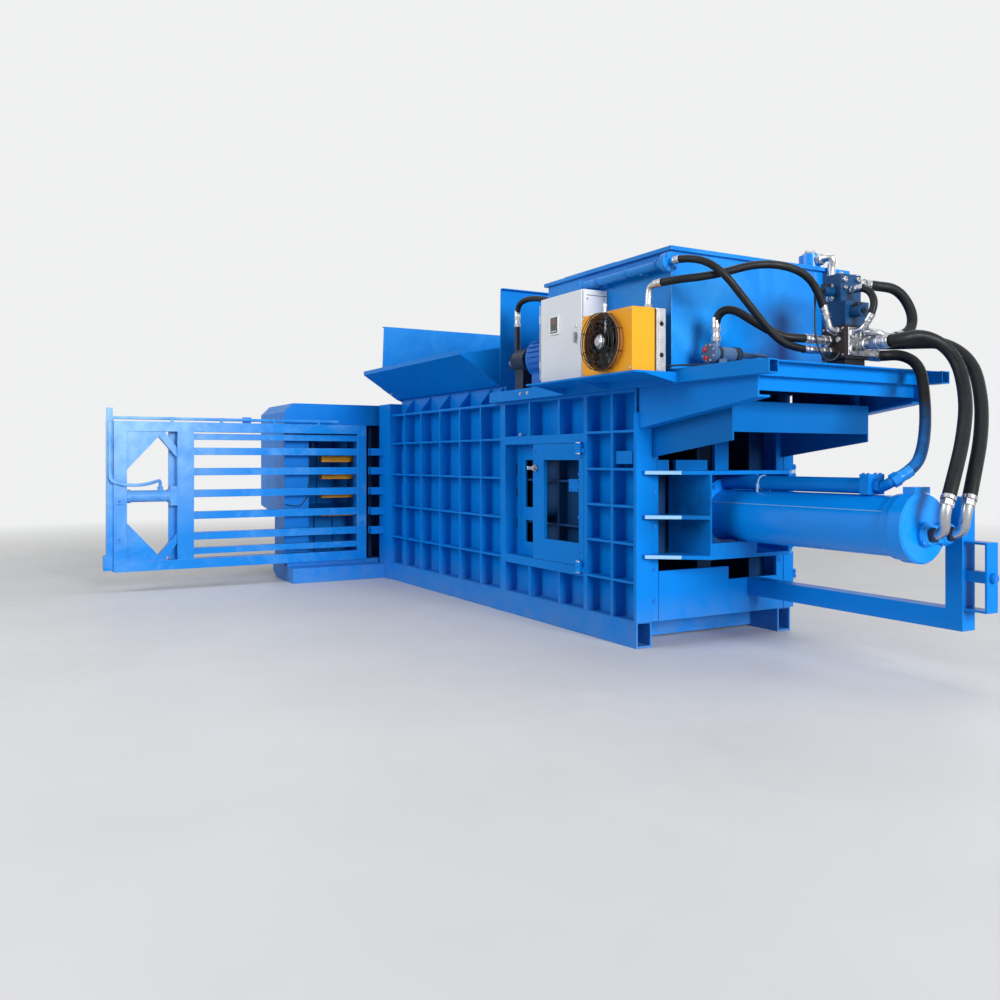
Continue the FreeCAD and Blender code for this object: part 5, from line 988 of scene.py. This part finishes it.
def gate_trim():
    """Bolts, lugs and weld beads of the gate's frame."""
    stile = [(GATE_FACE, -0.885, z) for z in BAR_ZS]
    bolt_group("gate_stile_bolts", {REAR: stile}, 0.011, BOLT_BLUE, "gate", "gate_paint")
    x = GATE_FACE - 0.002
    beads = [(bead, (x, y, low), (x, y, high), 0.004, 0.04) for y, low, high in
             ((-2.553, 0.3, 1.45), (-0.933, 0.3, 1.45), (-3.141, 0.33, 1.41), (-2.697, 0.33, 1.41))]
    piece("gate_weld_beads", beads, GATE_PAINT, "gate")
    front = GATE_FACE + 0.014
    lugs = [(slab, (x, -3.235, z), (front, -3.175, z + 0.052), 0.004) for z in LUG_ZS]
    piece("gate_lugs", lugs, GATE_PAINT, "gate")
    middles = [(front, -3.205, z + 0.026) for z in LUG_ZS]
    bolt_group("gate_lug_bolts", {REAR: middles}, 0.01, BOLT_BLUE, "gate", "gate_paint")


def portal_inside():
    """Side plate of the discharge channel with its ribs, seen between the gate's bars, in a dark blue that
    is a painted shade.
    """
    inner = PORTAL_Y - 0.004
    plate = [(slab, (PORTAL_FRONT, PORTAL_Y - 0.008, 0.168), (PORTAL_END, PORTAL_Y, 1.566), 0.002)]
    plate += [(slab, (x - 0.008, PORTAL_Y - 0.09, 0.172), (x + 0.008, inner, 1.562), 0.002)
              for x in (-1.02, -0.82, -0.62, -0.44)]
    plate += [(slab, (PORTAL_FRONT + 0.01, PORTAL_Y - 0.07, z - 0.008),
               (PORTAL_END - 0.01, inner, z + 0.008), 0.002) for z in (0.46, 0.88, 1.3)]
    piece("portal_inner_plate", plate, SHADED_INNER_BLUE)


def portal_back():
    """Back plate of the column along its step, with three upright ribs."""
    strips = [(-1.4, PORTAL_Y, 0.0, 0.008)]
    strips += [(y - 0.006, y + 0.006, 0.006, 0.05) for y in (-1.24, -1.04, -0.84)]
    plates = []
    for (x_a, z_a), (x_b, z_b) in zip(COLUMN_BACK, COLUMN_BACK[1:]):
        for y0, y1, start, depth in strips:
            ends = [(x_a + start, z_a), (x_b + start, z_b), (x_b + depth, z_b), (x_a + depth, z_a)]
            plates.append((prism, *([(x, y, z) for x, z in ends] for y in (y0, y1))))
    piece("portal_back_plate", plates, BLUE_PAINT)


gate_trim()
portal_inside()
portal_back()


# ---- wires ----
def wire(name, points, radius):
    """Thin sheathed wire through the given points."""
    line = tube_curve(name, points, radius, WIRE)


wire("valve_wire_near", [
    (5.04, -0.012, 2.205), (5.04, -0.07, 2.205), (5.09, -0.12, 2.08), (5.09, -0.12, 1.88),
    (5.1, -0.05, 1.768), (5.12, 0.03, 1.79), (5.12, 0.047, 1.83)], 0.006)
wire("portal_wire", [(-0.2565, y, z) for y, z in
                     ((-1.345, 1.565), (-1.352, 1.409), (-1.389, 1.21), (-1.405, 0.85),
                      (-1.466, 0.752), (-1.53, 0.728), (-1.64, 0.756))], 0.005)
wire("deck_wire", [
    (4.3, -0.69, 1.748), (4.42, -0.78, 1.75), (4.62, -0.8, 1.752), (4.76, -0.7, 1.75),
    (4.9, -0.46, 1.752), (4.96, -0.16, 1.75), (5.02, 0.000, 1.756), (5.06, 0.044, 1.8)], 0.006)

# ---- stage and light ----
BACKDROP = (0.87, 0.875, 0.88)
FLOOR_SHADE_GREYS = ((0.0, 0.66), (0.36, 0.74), (0.55, 0.7), (0.75, 0.34), (1.0, 0.2))


def straight_rays(nodes):
    """1 where the camera, a mirror or glass looks at a surface, 0 where it only gives light."""
    path = nodes.add("LightPath")
    seen = nodes.maths("MAXIMUM", path.outputs["Is Camera Ray"], path.outputs["Is Glossy Ray"])
    return nodes.maths("MAXIMUM", seen, path.outputs["Is Transmission Ray"])


def floor_material():
    """Pale floor that keeps the object's shadow, with painted shade that darkens it along x towards the
    camera, and goes over into the backdrop far out.
    """
    m, nodes, shader, where = new_material("floor_pale")
    tint = nodes.ramp(nodes.noise(where, 0.8, 3), (0.3, (0.9,) * 3), (0.7, (0.96,) * 3))
    along = nodes.spread(nodes.coordinate(where, "X"), -2.0, 12.0, 0.0, 1.0)
    # Greys along x: painted shade, darkest round and past the camera.
    front = nodes.ramp(along, *((place, (grey,) * 3) for place, grey in FLOOR_SHADE_GREYS))
    nodes.fill(shader, Base_Color=nodes.mix(1.0, front, tint, "MULTIPLY"), Specular_IOR_Level=0.12,
               Roughness=nodes.spread(nodes.noise(where, 6.0, 4), 0.3, 0.7, 0.42, 0.6))
    far_out = nodes.spread(nodes.measure("LENGTH", where), 5.5, 13.0, 0.0, 1.0)
    glow = nodes.add("Emission", Color=BACKDROP)
    nodes.surface("Material Output", nodes.times(far_out, straight_rays(nodes)), shader, glow)
    return m


floor_mesh = bmesh.new()
bmesh.ops.create_grid(floor_mesh, x_segments=2, y_segments=2, size=60)
floor_data = bpy.data.meshes.new("floor")
floor_mesh.to_mesh(floor_data)
floor_mesh.free()
floor_data.materials.append(floor_material())
floor = bpy.data.objects.new("floor", floor_data)
floor.location = (2, 0, -0.001)
scene.collection.objects.link(floor)

world = bpy.data.worlds.new("studio")
scene.world = world
sky = Nodes(world)
glow = sky.fill(sky.tree.nodes["Background"], Color=(0.86, 0.88, 0.9), Strength=0.22)
backdrop = sky.add("Background", Color=BACKDROP, Strength=1.0)
sky.surface("World Output", straight_rays(sky), glow, backdrop)

for name, at, aim, size, power, colour in (
        ("key", (25.0, -1.0, 6.5), (3.5, 0.0, 1.2), 8.0, 5600, (1, 1, 1)),
        ("side", (2.0, -12.0, 6.5), (1.5, 0.0, 1.0), 7.0, 820, (0.97, 0.98, 1.0)),
        ("top", (3.0, 2.0, 10.0), (3.0, 0.0, 1.5), 8.0, 260, (1, 1, 1)),
        ("far", (2.0, 12.0, 5.0), (2.5, 0.0, 1.2), 6.0, 260, (1, 1, 1))):
    data = bpy.data.lights.new(name, "AREA")
    data.size = size
    data.energy = power
    data.color = colour
    lamp = bpy.data.objects.new(name, data)
    lamp.location = at
    lamp.rotation_euler = (Vector(aim) - Vector(at)).to_track_quat("-Z", "Y").to_euler()
    scene.collection.objects.link(lamp)

scene.view_settings.view_transform = "Standard"
